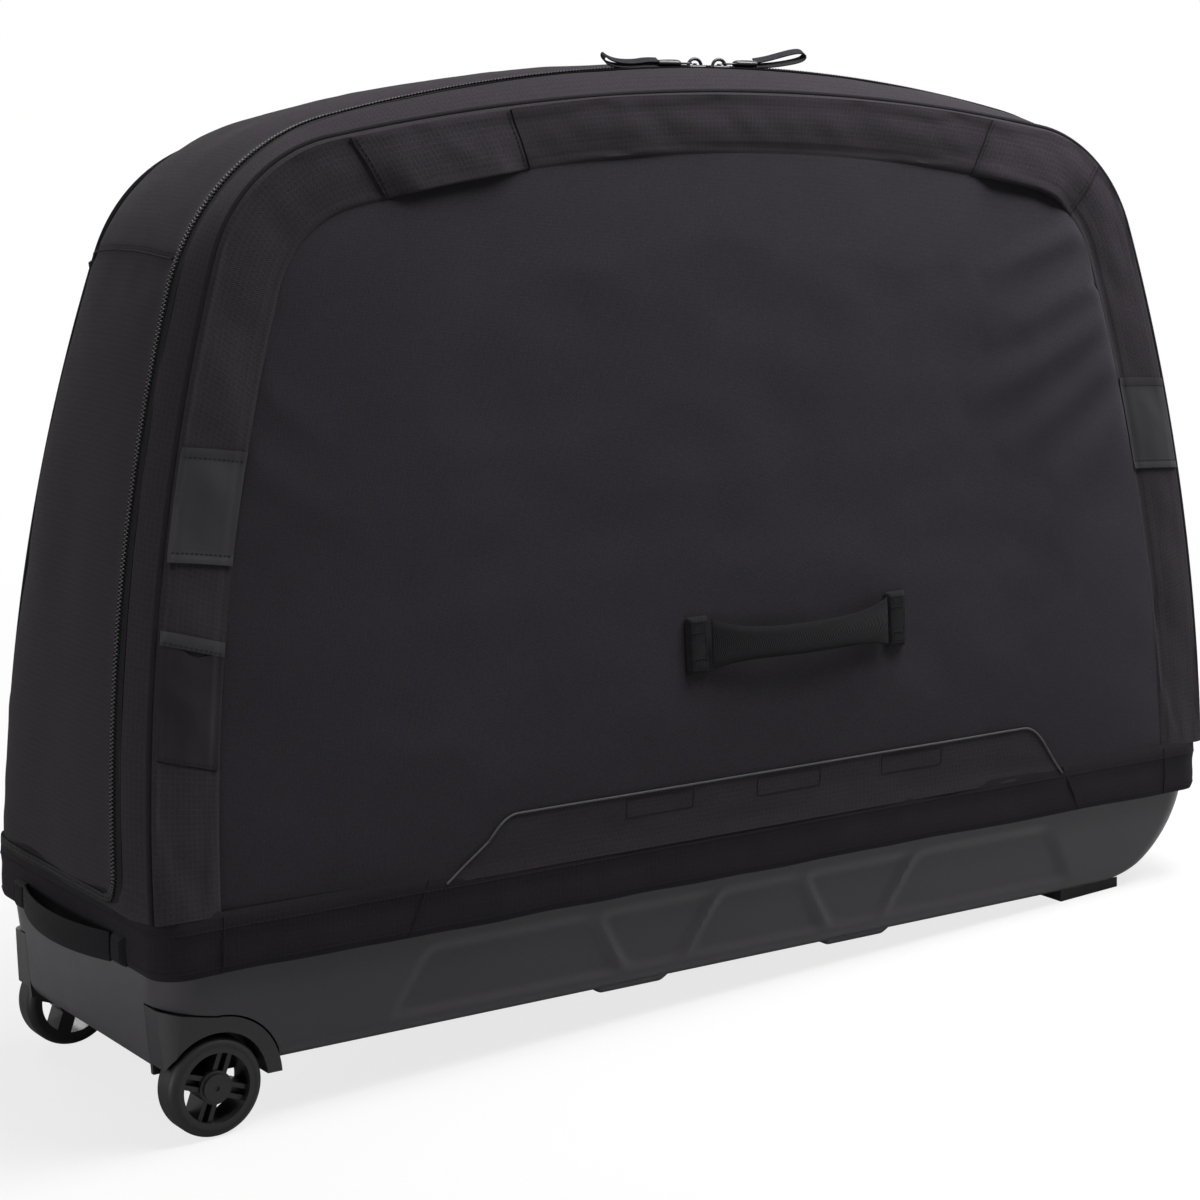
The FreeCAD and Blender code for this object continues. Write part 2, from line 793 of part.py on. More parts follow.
# Wheel housings let into the two lower corners of the wheel end
wheel_distance = S.tub_half_length - S.wheel_end_inset
hub_x = -wheel_distance
wheel_out = S.half_depth - S.wheel_inset
wheel_in = wheel_out - S.wheel_width
bore_in = wheel_in - S.wheel_side_room
housing_in = bore_in - S.housing_wall


def along_y(x, near, far, z, side):
    """A frame for a piece that runs across the case between two distances from its middle."""
    return Frame(x, far if side == BACK else -near, z, X_AXIS, as_size(90))


def housing_arch(name, side, gap):
    near = housing_in - gap
    far = S.half_depth + OVERCUT
    return cylinder(name, S.housing_radius + gap, far - near, along_y(hub_x, near, far, S.wheel_radius, side))


def housing_corner(name, side, gap):
    """The corner of the tub that a housing fills, grown by a gap."""
    near = housing_in - gap
    far = S.half_depth + OVERCUT
    arch_top = S.wheel_radius + S.housing_radius + gap
    shoulder = S.wheel_radius + S.housing_shoulder + gap
    beyond = -S.tub_half_length - OVERCUT

    def draw(sketch):
        draw_polygon(sketch, [(beyond, ZERO), (hub_x, ZERO), (hub_x, arch_top),
                              (-S.tub_half_length, shoulder), (beyond, shoulder)])
    block = padded(name + "_block", draw, far - near, upright(far if side == BACK else -near))
    return fuse(name, housing_arch(name + "_arch", side, gap), block)


tub_cuts = [tub_inner]
for side, name in SIDES:
    tub_cuts.append(emboss("emboss_" + name, side))
    tub_cuts.append(housing_corner("housing_room_" + name, side, S.housing_gap))
skids = []
for way, name in ENDS:
    place = S.emboss_middle + S.skid_spread * way - S.skid_length / 2
    frame = Frame(place, -S.skid_width / 2, S.tub_floor - S.skid_drop, X_AXIS, ZERO)
    skids.append(box("skid_" + name, S.skid_length, S.skid_width, S.skid_drop + S.tub_wall / 2, frame))
tub_shell = cut("tub_shell", fuse("tub_solid", tub_outer, *skids), *tub_cuts)

# Rim strip and rivets that clamp the hem inside the tub's rim
side_slack = tub_draft * S.strip_height / wall_height
end_slack = S.tub_end_slope * S.strip_height / (S.tub_rim - S.tub_floor)
strip_gap = S.tub_wall + S.seat_gap
strip_low = S.tub_rim - S.strip_height
strip_half_length = S.tub_half_length - end_slack - strip_gap
strip_half_width = tub_half_width - side_slack - strip_gap
strip_corner = S.tub_corner - strip_gap
bare_strip = cut(
    "rim_strip_bare",
    plan_block("rim_strip_outside", strip_half_length, strip_half_width, strip_corner, strip_low, S.tub_rim),
    plan_block("rim_strip_inside", strip_half_length - S.strip_thickness, strip_half_width - S.strip_thickness,
               strip_corner - S.strip_thickness, strip_low - OVERCUT, S.tub_rim + OVERCUT))
shank_in = strip_half_width - S.strip_thickness
shank_out = tub_half_width - side_slack
rivet_level = S.tub_rim - S.strip_height / 2
rivet_count = int(2 * (S.tub_half_length - S.tub_corner).value // S.rivet_pitch.value)
rivets = []
rivet_holes = []
for side, name in SIDES:
    for index in range(rivet_count + 1):
        place = S.rivet_pitch * (index - rivet_count / 2)
        tag = "%s_%d" % (name, index)
        hole = along_y(place, shank_in - OVERCUT, shank_out + OVERCUT, rivet_level, side)
        shank = along_y(place, shank_in, shank_out, rivet_level, side)
        head = along_y(place, shank_in - S.rivet_head, shank_in, rivet_level, side)
        rivet_holes.append(cylinder("rivet_hole_" + tag, S.rivet_radius + S.rivet_fit,
                                    shank_out - shank_in + OVERCUT * 2, hole))
        rivets.append(fuse(
            "rivet_" + tag,
            cylinder("rivet_shank_" + tag, S.rivet_radius, shank_out - shank_in, shank),
            cylinder("rivet_head_" + tag, S.rivet_head_radius, S.rivet_head, head)))
rivet_tool = fuse("rivet_holes", *rivet_holes)

# Bike mount on the tub's floor: a slotted rail, a fork block with its axle, and a padded cradle
rail_low = S.tub_floor + S.tub_wall
rail_top = rail_low + S.rail_height
half_rail = S.tub_half_length - S.rail_end_gap
mount_place = half_rail - S.mount_end_gap
rail_length = half_rail * 2
rail_outside = box("rail_outside", rail_length, S.rail_width, S.rail_height,
                   Frame(-half_rail, -S.rail_width / 2, rail_low, X_AXIS, ZERO))
rail_hollow = box("rail_hollow", rail_length + OVERCUT * 2, S.rail_width - S.rail_wall * 2,
                  S.rail_height - S.rail_wall * 2,
                  Frame(-half_rail - OVERCUT, S.rail_wall - S.rail_width / 2, rail_low + S.rail_wall,
                        X_AXIS, ZERO))
rail_slot = box("rail_slot", rail_length + OVERCUT * 2, S.rail_slot, S.rail_height,
                Frame(-half_rail - OVERCUT, -S.rail_slot / 2, rail_low + S.rail_wall * 2, X_AXIS, ZERO))
bolts = []
bolt_holes = []
for way, name in ENDS:
    place = (half_rail - S.rail_bolt_inset) * way
    bolts.append(fuse(
        "rail_bolt_" + name,
        cylinder("rail_bolt_shank_" + name, S.rail_bolt_radius, S.tub_wall + S.rail_wall,
                 Frame(place, ZERO, S.tub_floor, X_AXIS, ZERO)),
        cylinder("rail_bolt_head_" + name, S.rail_slot / 2 - S.seat_gap, S.rail_bolt_head,
                 Frame(place, ZERO, rail_low + S.rail_wall, X_AXIS, ZERO))))
    bolt_holes.append(cylinder("rail_bolt_hole_" + name, S.rail_bolt_radius + S.rivet_fit,
                               S.tub_wall + S.rail_wall + OVERCUT,
                               Frame(place, ZERO, S.tub_floor - OVERCUT, X_AXIS, ZERO)))
bolt_tool = fuse("rail_bolt_holes", *bolt_holes)
node("base_tub", cut("base_tub", tub_shell, rivet_tool, bolt_tool))
node("rim_strip", cut("rim_strip", bare_strip, rivet_tool))
node("rim_rivets", group("rim_rivets", rivets))
node("mount_rail", cut("mount_rail", rail_outside, rail_hollow, rail_slot, bolt_tool))
node("rail_bolts", group("rail_bolts", bolts))

mount_half = S.rail_width / 2
mount_left = mount_place - S.mount_length / 2
axle_level = rail_top + S.mount_height - S.mount_wall
fork_block = box("fork_block", S.mount_length, S.rail_width, S.mount_height,
                 Frame(mount_left, -mount_half, rail_top, X_AXIS, ZERO))
fork_hole = cylinder("fork_hole", S.fork_axle_radius + S.axle_fit, S.rail_width + OVERCUT * 2,
                     Frame(mount_place, mount_half + OVERCUT, axle_level, X_AXIS, as_size(90)))
fork_window = box("fork_window", S.mount_length + OVERCUT * 2, S.rail_width - S.mount_wall * 2,
                  S.mount_height - S.mount_wall * 3,
                  Frame(mount_left - OVERCUT, S.mount_wall - mount_half, rail_top + S.mount_wall, X_AXIS, ZERO))
node("fork_mount", cut("fork_mount", fork_block, fork_hole, fork_window))
node("fork_axle", cylinder("fork_axle", S.fork_axle_radius, S.fork_axle_length,
                           Frame(mount_place, S.fork_axle_length / 2, axle_level, X_AXIS, as_size(90))))
cradle_frame = Frame(S.cradle_place - S.cradle_length / 2, -S.cradle_width / 2, rail_top, X_AXIS, ZERO)
saddle_level = rail_top + S.cradle_height + S.saddle_radius / 2


def saddle(name, radius, extra):
    """A round bar across the cradle, as wide as it plus an extra on each side."""
    frame = Frame(S.cradle_place, S.cradle_width / 2 + extra, saddle_level, X_AXIS, as_size(90))
    return cylinder(name, radius, S.cradle_width + extra * 2, frame)


def cradle_block(name):
    return box(name, S.cradle_length, S.cradle_width, S.cradle_height, cradle_frame)


pad_radius = S.saddle_radius + S.saddle_pad
node("bracket_cradle", cut("bracket_cradle", cradle_block("cradle_block"),
                           saddle("saddle_cut", pad_radius, OVERCUT)))
pad_tube = cut("cradle_pad_tube", saddle("cradle_pad_outside", pad_radius, ZERO),
               saddle("cradle_pad_inside", S.saddle_radius, OVERCUT))
node("cradle_pad", common("cradle_pad", pad_tube, cradle_block("cradle_pad_limit")))

# Fabric hem round the tub's rim, and the bound edge that the door folds about
hem_top = S.hem_height + S.hem_band_height
node("hem_band", cut(
    "hem_band",
    plan_block("hem_outside", S.tub_half_length + hem_out, tub_half_width + hem_out, S.tub_corner + hem_out,
               S.hem_height, hem_top),
    plan_block("hem_inside", S.tub_half_length + S.seat_gap, tub_half_width + S.seat_gap,
               S.tub_corner + S.seat_gap, S.hem_height - OVERCUT, hem_top + OVERCUT)))
binding_half = S.tub_half_length - S.tub_corner
binding_y = tub_half_width + S.seat_gap + S.hem_wall / 2
binding_z = hem_top + (S.door_lift + S.seat_gap) / 2
node("hinge_binding", cylinder("hinge_binding", (S.door_lift - S.seat_gap) / 2, binding_half * 2,
                               Frame(-binding_half, binding_y, binding_z, Y_AXIS, as_size(90))))


# Wheels, axles and housings
def draw_rings(outer, inner):
    def draw(sketch):
        draw_circle(sketch, ZERO, ZERO, outer)
        draw_circle(sketch, ZERO, ZERO, inner)
    return draw


def has_radius(radius):
    """Picks round edges of one radius."""
    def wanted(edge):
        return isinstance(edge.Curve, Part.Circle) and abs(edge.Curve.Radius - radius.value) < TOLERANCE
    return wanted


def spoke_bar(name, side, angle, reach, width, near, far):
    """A bar from the wheel's axis outwards, turned by an angle about that axis."""
    x = hub_x - width / 2 * sine(angle)
    z = S.wheel_radius - width / 2 * cosine(angle)
    y = near if side == BACK else -far
    return box(name, reach, far - near, width, Frame(x, y, z, Y_AXIS, angle))


rim_radius = S.wheel_radius - S.tyre_wall
hub_out = wheel_out - S.cap_thickness
outer_far = hub_out - S.axle_head - S.cap_gap
outer_near = outer_far - S.bearing_width
inner_far = wheel_in + S.bearing_width
nut_near = housing_in - S.nut_thickness
spoke_far = wheel_out - S.spoke_recess
shaft = S.axle_radius + S.bearing_fit
nuts = []
for side, name in SIDES:
    def across(label, radius, near, far):
        """A round piece on the wheel's axis between two distances from the middle of the case."""
        return cylinder("%s_%s" % (label, name), radius, far - near,
                        along_y(hub_x, near, far, S.wheel_radius, side))

    def tube(label, outer, inner, near, far):
        return cut("%s_%s" % (label, name), across(label + "_outside", outer, near, far),
                   across(label + "_inside", inner, near - OVERCUT, far + OVERCUT))

    room = across("wheel_room", S.wheel_radius + S.wheel_room, bore_in, S.half_depth + OVERCUT)
    axle_hole = across("axle_hole", S.axle_radius + S.axle_fit, housing_in - OVERCUT, wheel_in + OVERCUT)
    filled = common("housing_filled_" + name, tub_outer, housing_corner("housing_corner_" + name, side, ZERO))
    leg_y = housing_in if side == BACK else -wall_foot
    leg_block = box("housing_leg_block_" + name, S.housing_radius, wall_foot - housing_in,
                    S.tub_bilge + S.housing_drop,
                    Frame(hub_x, leg_y, S.tub_floor - S.housing_drop, X_AXIS, ZERO))
    leg = common("housing_leg_" + name, leg_block, housing_arch("housing_leg_arch_" + name, side, ZERO))
    wall_boss = across("housing_boss", S.boss_radius, housing_in, bore_in)
    bored = cut("housing_bored_" + name, fuse("housing_solid_" + name, filled, leg, wall_boss), room)
    stub = across("housing_stub", shaft + S.spacer_wall, bore_in, wheel_in)
    with_stub = fuse("housing_whole_" + name, bored, stub)
    node("wheel_housing_" + name, cut("wheel_housing_" + name, with_stub, axle_hole))

    tyre = padded("tyre_" + name, draw_rings(S.wheel_radius, rim_radius + S.tyre_fit), S.wheel_width,
                  along_y(hub_x, wheel_in, wheel_out, S.wheel_radius, side))
    node("tyre_" + name, rounded(tyre, S.tyre_crown, has_radius(S.wheel_radius)))

    bars = []
    grooves = []
    for index in range(int(S.spoke_count.value)):
        angle = S.spoke_turn + as_size(360 * index) / S.spoke_count
        tag = "%s_%d" % (name, index)
        bars.append(spoke_bar("spoke_" + tag, side, angle, rim_radius - S.core_rim / 2, S.spoke_width,
                              wheel_in, spoke_far))
        grooves.append(spoke_bar("groove_" + tag, side, angle, rim_radius - S.core_rim, S.groove_width,
                                 spoke_far - S.groove_depth, wheel_out))
    spider = cut("core_spider_" + name, fuse("core_bars_" + name, *bars), *grooves)
    rim_band = tube("core_rim", rim_radius, rim_radius - S.core_rim, wheel_in, wheel_out)
    hub = across("core_hub", S.hub_radius, wheel_in, hub_out)
    bearing_bore = across("bearing_bore", S.bearing_radius + S.bearing_fit,
                          wheel_in - OVERCUT, wheel_out + OVERCUT)
    node("wheel_core_" + name, cut("wheel_core_" + name, fuse("core_solid_" + name, rim_band, spider, hub),
                                   bearing_bore))
    node("bearings_" + name, group("bearings_" + name, [
        tube("bearing_inner", S.bearing_radius, shaft, wheel_in, inner_far),
        tube("bearing_outer", S.bearing_radius, shaft, outer_near, outer_far)]))
    node("axle_spacer_" + name, tube("axle_spacer", shaft + S.spacer_wall, shaft, inner_far, outer_near))
    node("axle_" + name, fuse("axle_" + name,
                              across("axle_shank", S.axle_radius, nut_near, outer_far),
                              across("axle_head", S.axle_head_radius, outer_far, outer_far + S.axle_head)))
    cap = across("hub_cap_disc", S.cap_radius, hub_out, wheel_out)
    socket = across("hub_cap_socket", S.socket_width / 2, wheel_out - S.cap_thickness / 2, wheel_out + OVERCUT)
    node("hub_cap_" + name, cut("hub_cap_" + name, cap, socket))

    def draw_nut(sketch):
        radius = S.nut_flats / 2 / cosine(as_size(30))
        turns = [as_size(60 * index) for index in range(6)]
        draw_polygon(sketch, [(radius * cosine(turn), radius * sine(turn)) for turn in turns])
        draw_circle(sketch, ZERO, ZERO, S.axle_radius + S.axle_fit)
    nuts.append(padded("axle_nut_" + name, draw_nut, S.nut_thickness,
                       along_y(hub_x, nut_near, housing_in, S.wheel_radius, side)))
node("axle_nuts", group("axle_nuts", nuts))

# Glide feet: the case stands on its wheels and, nose down, on two flat feet under the other end
foot_place = S.tub_half_length - S.foot_end_inset
run = foot_place + wheel_distance
rise = S.tub_floor - S.foot_drop - S.wheel_radius
reach = root(run * run + rise * rise)
stance = Size(
    math.degrees(math.atan2(rise.value, run.value) + math.asin(S.wheel_radius.value / reach.value)),
    "(atan2(%s; %s) + asin(%s / %s))" % (rise.text, run.text, S.wheel_radius.text, reach.text))
for side, name in SIDES:
    half = S.foot_length / 2
    frame = Frame(foot_place - half * cosine(stance), S.foot_spread * side - S.foot_width / 2,
                  S.tub_floor - S.foot_drop - half * sine(stance), -Y_AXIS, stance)
    slab = box("foot_slab_" + name, S.foot_length, S.foot_width, S.foot_drop * 2, frame)
    node("glide_foot_" + name, cut("glide_foot_" + name, slab, tub_outer))

# Pieces sewn on the front: flap, rim patches, document pocket and two padded grips
def draw_outline(corners):
    def draw(sketch):
        draw_polygon(sketch, corners)
    return draw


flap_near = -S.panel_crown - S.flap_thickness
node("front_flap", plate("front_flap", FRONT, draw_outline([
    (-S.flap_low_left, panel_base), (S.flap_low_right, panel_base),
    (S.flap_top_right, S.flap_rise), (-S.flap_top_left, S.flap_rise)]), flap_near, -S.panel_crown))


def rim_piece(name, corners, near, far, outer_trim, inner_trim):
    """The part of the rim inside some corners, trimmed from the piping and from the main seam."""
    whole = ring(name + "_ring", FRONT, PANEL.inset(outer_trim), SEAM.inset(-inner_trim), near, far, panel_base)
    return common(name, whole, plate(name + "_window", FRONT, draw_outline(corners), near, far))


def window(way, inner, outer, low, high):
    return [(inner * way, low), (outer * way, low), (outer * way, high), (inner * way, high)]


rim_end = panel_half_length + OVERCUT
patches = []
for way, name in ENDS:
    patches.append(rim_piece("rim_patch_" + name, window(way, ZERO, rim_end, S.patch_low, S.patch_high),
                             -S.patch_thickness, ZERO, S.rim_trim, S.rim_trim))
node("rim_patches", group("rim_patches", patches))
node("document_pocket", rim_piece("document_pocket", window(-1, ZERO, rim_end, S.pocket_low, S.pocket_high),
                                  -S.pocket_thickness, ZERO, S.rim_trim, S.rim_trim))
rim_top = S.panel_rise + OVERCUT
for way, name, inset, length in ((-1, "left", S.grip_left_inset, S.grip_left_length),
                                 (1, "right", S.grip_right_inset, S.grip_right_length)):
    outer = panel_half_length - inset
    inner = outer - length
    solid_grip = rim_piece("grip_solid_" + name, window(way, inner, outer, panel_base, rim_top),
                           -S.grip_opening - S.grip_wall, ZERO, S.rim_trim, S.rim_trim)
    finger_room = rim_piece(
        "grip_room_" + name, window(way, inner + S.grip_edge, outer - S.grip_edge, panel_base, rim_top),
        -S.grip_opening, OVERCUT, S.rim_trim + S.grip_edge, -OVERCUT)
    node("grip_" + name, cut("grip_" + name, solid_grip, finger_room))

# Webbing handles: bowed straps between sewn anchors
def strap(name, span, bow, width, frame):
    def draw(sketch):
        draw_strap(sketch, span, bow, S.webbing_thickness)
    return padded(name, draw, width, frame)


handle_foot = S.panel_crown + S.handle_standoff
handle_high = S.handle_rise + S.handle_width / 2
handle_y = handle_high * sine(S.lean_angle) - handle_foot * cosine(S.lean_angle) - S.half_depth
handle_z = S.hem_height + handle_high * cosine(S.lean_angle) + handle_foot * sine(S.lean_angle)
node("front_handle", strap(
    "front_handle", S.handle_span, S.handle_bow, S.handle_width,
    Frame(S.handle_middle, handle_y, handle_z, X_AXIS, as_size(180) - S.lean_angle)))
anchor_near = strap_reach(S.handle_span, S.handle_bow, S.webbing_thickness) + S.anchor_gap
anchors = []
for way, name in ENDS:
    edge = S.handle_middle + anchor_near * way
    far_edge = edge + S.anchor_width * way
    low = S.handle_rise - S.anchor_height / 2
    high = S.handle_rise + S.anchor_height / 2
    anchors.append(plate("handle_anchor_" + name, FRONT, draw_outline([
        (edge, low), (far_edge, low), (far_edge, high), (edge, high)]),
        -handle_foot - S.webbing_thickness, -S.panel_crown))
node("handle_anchors", group("handle_anchors", anchors))

end_face = S.tub_half_length + hem_out
end_foot = end_face + S.end_handle_standoff
end_low = S.end_handle_height - S.end_handle_width / 2
tab_near = strap_reach(S.end_handle_span, S.end_handle_bow, S.webbing_thickness) + S.anchor_gap
tab_thickness = S.end_handle_standoff + S.webbing_thickness
tabs = []
for way, name in ENDS:
    frame = Frame(end_foot * way, ZERO, end_low, Z_AXIS, as_size(-90 * way))
    node("end_handle_" + name, strap("end_handle_" + name, S.end_handle_span, S.end_handle_bow,
                                     S.end_handle_width, frame))
    tab_x = end_face if way > 0 else -end_face - tab_thickness
    for side, place in ((FRONT, "front"), (BACK, "rear")):
        tab_y = tab_near if side == BACK else -tab_near - S.end_tab_width
        tabs.append(box("end_tab_%s_%s" % (name, place), tab_thickness, S.end_tab_width, S.end_handle_width,
                        Frame(tab_x, tab_y, end_low, X_AXIS, ZERO)))
node("end_handle_tabs", group("end_handle_tabs", tabs))


# Zip sliders on the crown, each with a swinging pull and a ribbon loop
def zip_frame(x, rise, depth):
    """A frame on the leaning zip plane: local x along the zip, local y up, local z to the front."""
    foot = front_plane(depth)
    y = foot.y + rise * sine(S.lean_angle)
    z = foot.z + rise * cosine(S.lean_angle)
    return Frame(x, y, z, X_AXIS, foot.angle)


def zip_box(name, left, right, low, high, near, far):
    return box(name, right - left, high - low, far - near, zip_frame(left, low, far))


def zip_round(name, x, rise, radius, width):
    """A round piece across the zip, centred on it."""
    return cylinder(name, radius, width, zip_frame(x, rise, S.zip_depth + width / 2))


def spread(way, start, end):
    """Two distances to one side of the zip's middle, the smaller first."""
    return (start, end) if way > 0 else (end, start)


half_plate = S.slider_width / 2
half_bail = S.bail_width / 2
half_ferrule = S.ferrule_width / 2
half_ribbon = S.loop_width / 2
skirt_near = rear_coil_far + S.slider_side_gap
cheek_in = half_bail + S.pull_gap
cheek_out = cheek_in + S.pull_plate
for way, name in ENDS:
    middle = S.slider_middle + S.slider_apart / 2 * way
    crown = (S.panel_rise + S.crown_swell - S.swell_top_radius
             + root(S.swell_top_radius * S.swell_top_radius - middle * middle))
    under = crown + S.slider_gap
    top = under + S.slider_plate
    left = middle - S.slider_length / 2
    right = middle + S.slider_length / 2
    pin_x = middle + S.pin_offset * way
    pin_rise = top + S.pin_level
    sheet_plate = zip_box("slider_plate_" + name, left, right, under, top,
                          S.zip_depth - half_plate, S.zip_depth + half_plate)
    skirt = zip_box("slider_skirt_" + name, left, right, under - S.slider_skirt, under,
                    skirt_near, skirt_near + S.slider_skirt_wall)
    bail = zip_box("slider_bail_" + name, pin_x - S.bail_length / 2, pin_x + S.bail_length / 2, top,
                   top + S.bail_height, S.zip_depth - half_bail, S.zip_depth + half_bail)
    pin_hole = zip_round("slider_pin_hole_" + name, pin_x, pin_rise, S.pin_radius + S.pin_fit, S.bail_width * 2)
    node("zip_slider_" + name, cut("zip_slider_" + name, fuse("slider_solid_" + name, sheet_plate, skirt, bail),
                                   pin_hole))

    ferrule_start = pin_x + S.pull_reach * way
    ferrule_end = ferrule_start + S.ferrule_length * way
    pull = [zip_round("pull_pin_" + name, pin_x, pin_rise, S.pin_radius, cheek_out * 2)]
    for side, place in SIDES:
        tag = "%s_%s" % (name, place)
        near, far = spread(side, S.zip_depth + cheek_in * side, S.zip_depth + cheek_out * side)
        arm_left, arm_right = spread(way, pin_x, ferrule_start)
        pull.append(zip_box("pull_arm_" + tag, arm_left, arm_right, pin_rise - S.pin_radius,
                            pin_rise + S.pin_radius, near, far))
        pull.append(cylinder("pull_eye_" + tag, S.eye_radius, S.pull_plate, zip_frame(pin_x, pin_rise, far)))
    ferrule_left, ferrule_right = spread(way, ferrule_start, ferrule_end)
    half_height = S.ferrule_height / 2
    pull.append(zip_box("pull_ferrule_" + name, ferrule_left, ferrule_right, pin_rise - half_height,
                        pin_rise + half_height, S.zip_depth - half_ferrule, S.zip_depth + half_ferrule))
    node("zip_pull_" + name, fuse("zip_pull_" + name, *pull))

    loop_outer = S.loop_radius + S.loop_thickness / 2
    loop_inner = S.loop_radius - S.loop_thickness / 2
    fold = ferrule_end + (S.loop_length - loop_outer) * way
    leg_left, leg_right = spread(way, ferrule_end, fold)
    gap_left, gap_right = spread(way, ferrule_end - OVERCUT * way, fold)
    ribbon_near = S.zip_depth - half_ribbon
    ribbon_far = S.zip_depth + half_ribbon
    folded = fuse(
        "loop_outside_" + name,
        zip_box("loop_legs_" + name, leg_left, leg_right, pin_rise - loop_outer, pin_rise + loop_outer,
                ribbon_near, ribbon_far),
        zip_round("loop_fold_" + name, fold, pin_rise, loop_outer, S.loop_width))
    node("pull_loop_" + name, cut(
        "pull_loop_" + name, folded,
        zip_box("loop_gap_" + name, gap_left, gap_right, pin_rise - loop_inner, pin_rise + loop_inner,
                ribbon_near - OVERCUT, ribbon_far + OVERCUT),
        zip_round("loop_bend_" + name, fold, pin_rise, loop_inner, S.loop_width + OVERCUT)))

# Every object is sound, then each piece is written in the case's standing pose
doc.recompute()
failed = [item.Name for item in doc.Objects if "Invalid" in item.State or "Error" in item.State]
failed += [item.Label for item in nodes if item.Shape.isNull() or not item.Shape.isValid()]
if failed:
    raise RuntimeError("failed objects: " + ", ".join(failed))
hub = Vector(hub_x.value, 0, S.wheel_radius.value)
tilt = Rotation(Y_AXIS, stance.value)
lean_over = Placement(hub, tilt).multiply(Placement(-hub, Rotation()))
shapes = {}
for item in nodes:
    shapes[item.Label] = item.Shape.copy()
    shapes[item.Label].Placement = lean_over.multiply(shapes[item.Label].Placement)
whole = FreeCAD.BoundBox()
for label, shape in shapes.items():
    whole.add(shape.optimalBoundingBox(False, False))
middle = Vector(-whole.Center.x, -whole.Center.y, -whole.ZMin)
os.makedirs("parts", exist_ok=True)
for label, shape in shapes.items():
    shape.translate(middle)
    shape.exportStep("parts/%s.step" % label)
print("stance %.4f degrees, shift %s, box %s" % (stance.value, middle, whole))
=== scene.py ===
import json
import math
from functools import partial

import bpy
from mathutils import Matrix, Vector, noise
from mathutils.bvhtree import BVHTree


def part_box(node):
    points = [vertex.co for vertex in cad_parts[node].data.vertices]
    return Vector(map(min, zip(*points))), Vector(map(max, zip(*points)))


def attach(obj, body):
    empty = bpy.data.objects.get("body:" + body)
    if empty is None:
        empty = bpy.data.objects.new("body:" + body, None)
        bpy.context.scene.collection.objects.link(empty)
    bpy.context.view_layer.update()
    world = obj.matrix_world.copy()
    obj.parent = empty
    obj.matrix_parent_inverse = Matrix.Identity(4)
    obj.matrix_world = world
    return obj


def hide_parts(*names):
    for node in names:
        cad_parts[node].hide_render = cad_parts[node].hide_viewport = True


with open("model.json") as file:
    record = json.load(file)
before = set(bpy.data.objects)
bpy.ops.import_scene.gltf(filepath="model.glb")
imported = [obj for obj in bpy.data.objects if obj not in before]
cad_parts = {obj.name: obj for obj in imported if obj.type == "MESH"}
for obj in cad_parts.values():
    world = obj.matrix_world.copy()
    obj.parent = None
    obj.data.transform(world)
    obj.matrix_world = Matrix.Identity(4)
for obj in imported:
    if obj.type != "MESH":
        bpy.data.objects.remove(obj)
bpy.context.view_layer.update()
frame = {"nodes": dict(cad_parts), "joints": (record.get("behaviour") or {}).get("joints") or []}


# The stance: the wheels reach lower than the pads under the other end, so the case stands
# a little nose down. The door joint of the frame says by how much, and the front tyre about which hub.
fold_axis = [joint for joint in frame["joints"] if joint["name"] == "door_fold"][0]["axis"]
nose_down = math.atan2(fold_axis[2], -fold_axis[0])
tyre_low, tyre_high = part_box("tyre_front")
hub_place = (tyre_low + tyre_high) / 2
turned = Matrix.Rotation(nose_down, 4, "Y")
hub = Vector((-591, -157, 47.5))
level = Matrix.Scale(0.001, 4) @ Matrix.Translation(-hub)
standing = Matrix.Translation(hub_place) @ turned @ level


# The studio: a pale floor, an even white surround, and soft lamps at the wheel end, above, at the
# front, over the right shoulder, behind and on the right. The camera looks from the wheel end.
def add_node(tree, kind, inputs=None, **settings):
    """A shader node with its settings, values and incoming links."""
    made = tree.nodes.new(kind)
    for name, value in settings.items():
        setattr(made, name, value)
    for socket, value in (inputs or {}).items():
        if isinstance(value, bpy.types.NodeSocket):
            tree.links.new(value, made.inputs[socket])
        else:
            made.inputs[socket].default_value = value
    return made


def math_node(tree, operation, first, second=0.0):
    return add_node(tree, "ShaderNodeMath", {0: first, 1: second}, operation=operation).outputs[0]


def shader_of(name, plain):
    """A new finish, its tree and its shader's inputs, with the plain values set on those inputs."""
    finish = bpy.data.materials.new(name)
    finish.use_nodes = True
    shader = finish.node_tree.nodes["Principled BSDF"]
    for socket, value in plain.items():
        shader.inputs[socket].default_value = value
    return finish, finish.node_tree, shader.inputs


world = bpy.data.worlds.new("studio_surround")
world.use_nodes = True
bpy.context.scene.world = world
surround = world.node_tree
seen = add_node(surround, "ShaderNodeLightPath").outputs
seen_in = math_node(surround, "MAXIMUM", seen["Is Glossy Ray"], seen["Is Transmission Ray"])
shows_white = math_node(surround, "MAXIMUM", seen["Is Camera Ray"], seen_in)
ambient = add_node(surround, "ShaderNodeBackground", {"Color": (0.97, 0.97, 1.0, 1), "Strength": 0.08})
white = add_node(surround, "ShaderNodeBackground", {"Color": (1, 1, 1, 1), "Strength": 1.0})
chosen = add_node(surround, "ShaderNodeMixShader",
                  {0: shows_white, 1: ambient.outputs[0], 2: white.outputs[0]})
surround.links.new(chosen.outputs[0], surround.nodes["World Output"].inputs["Surface"])

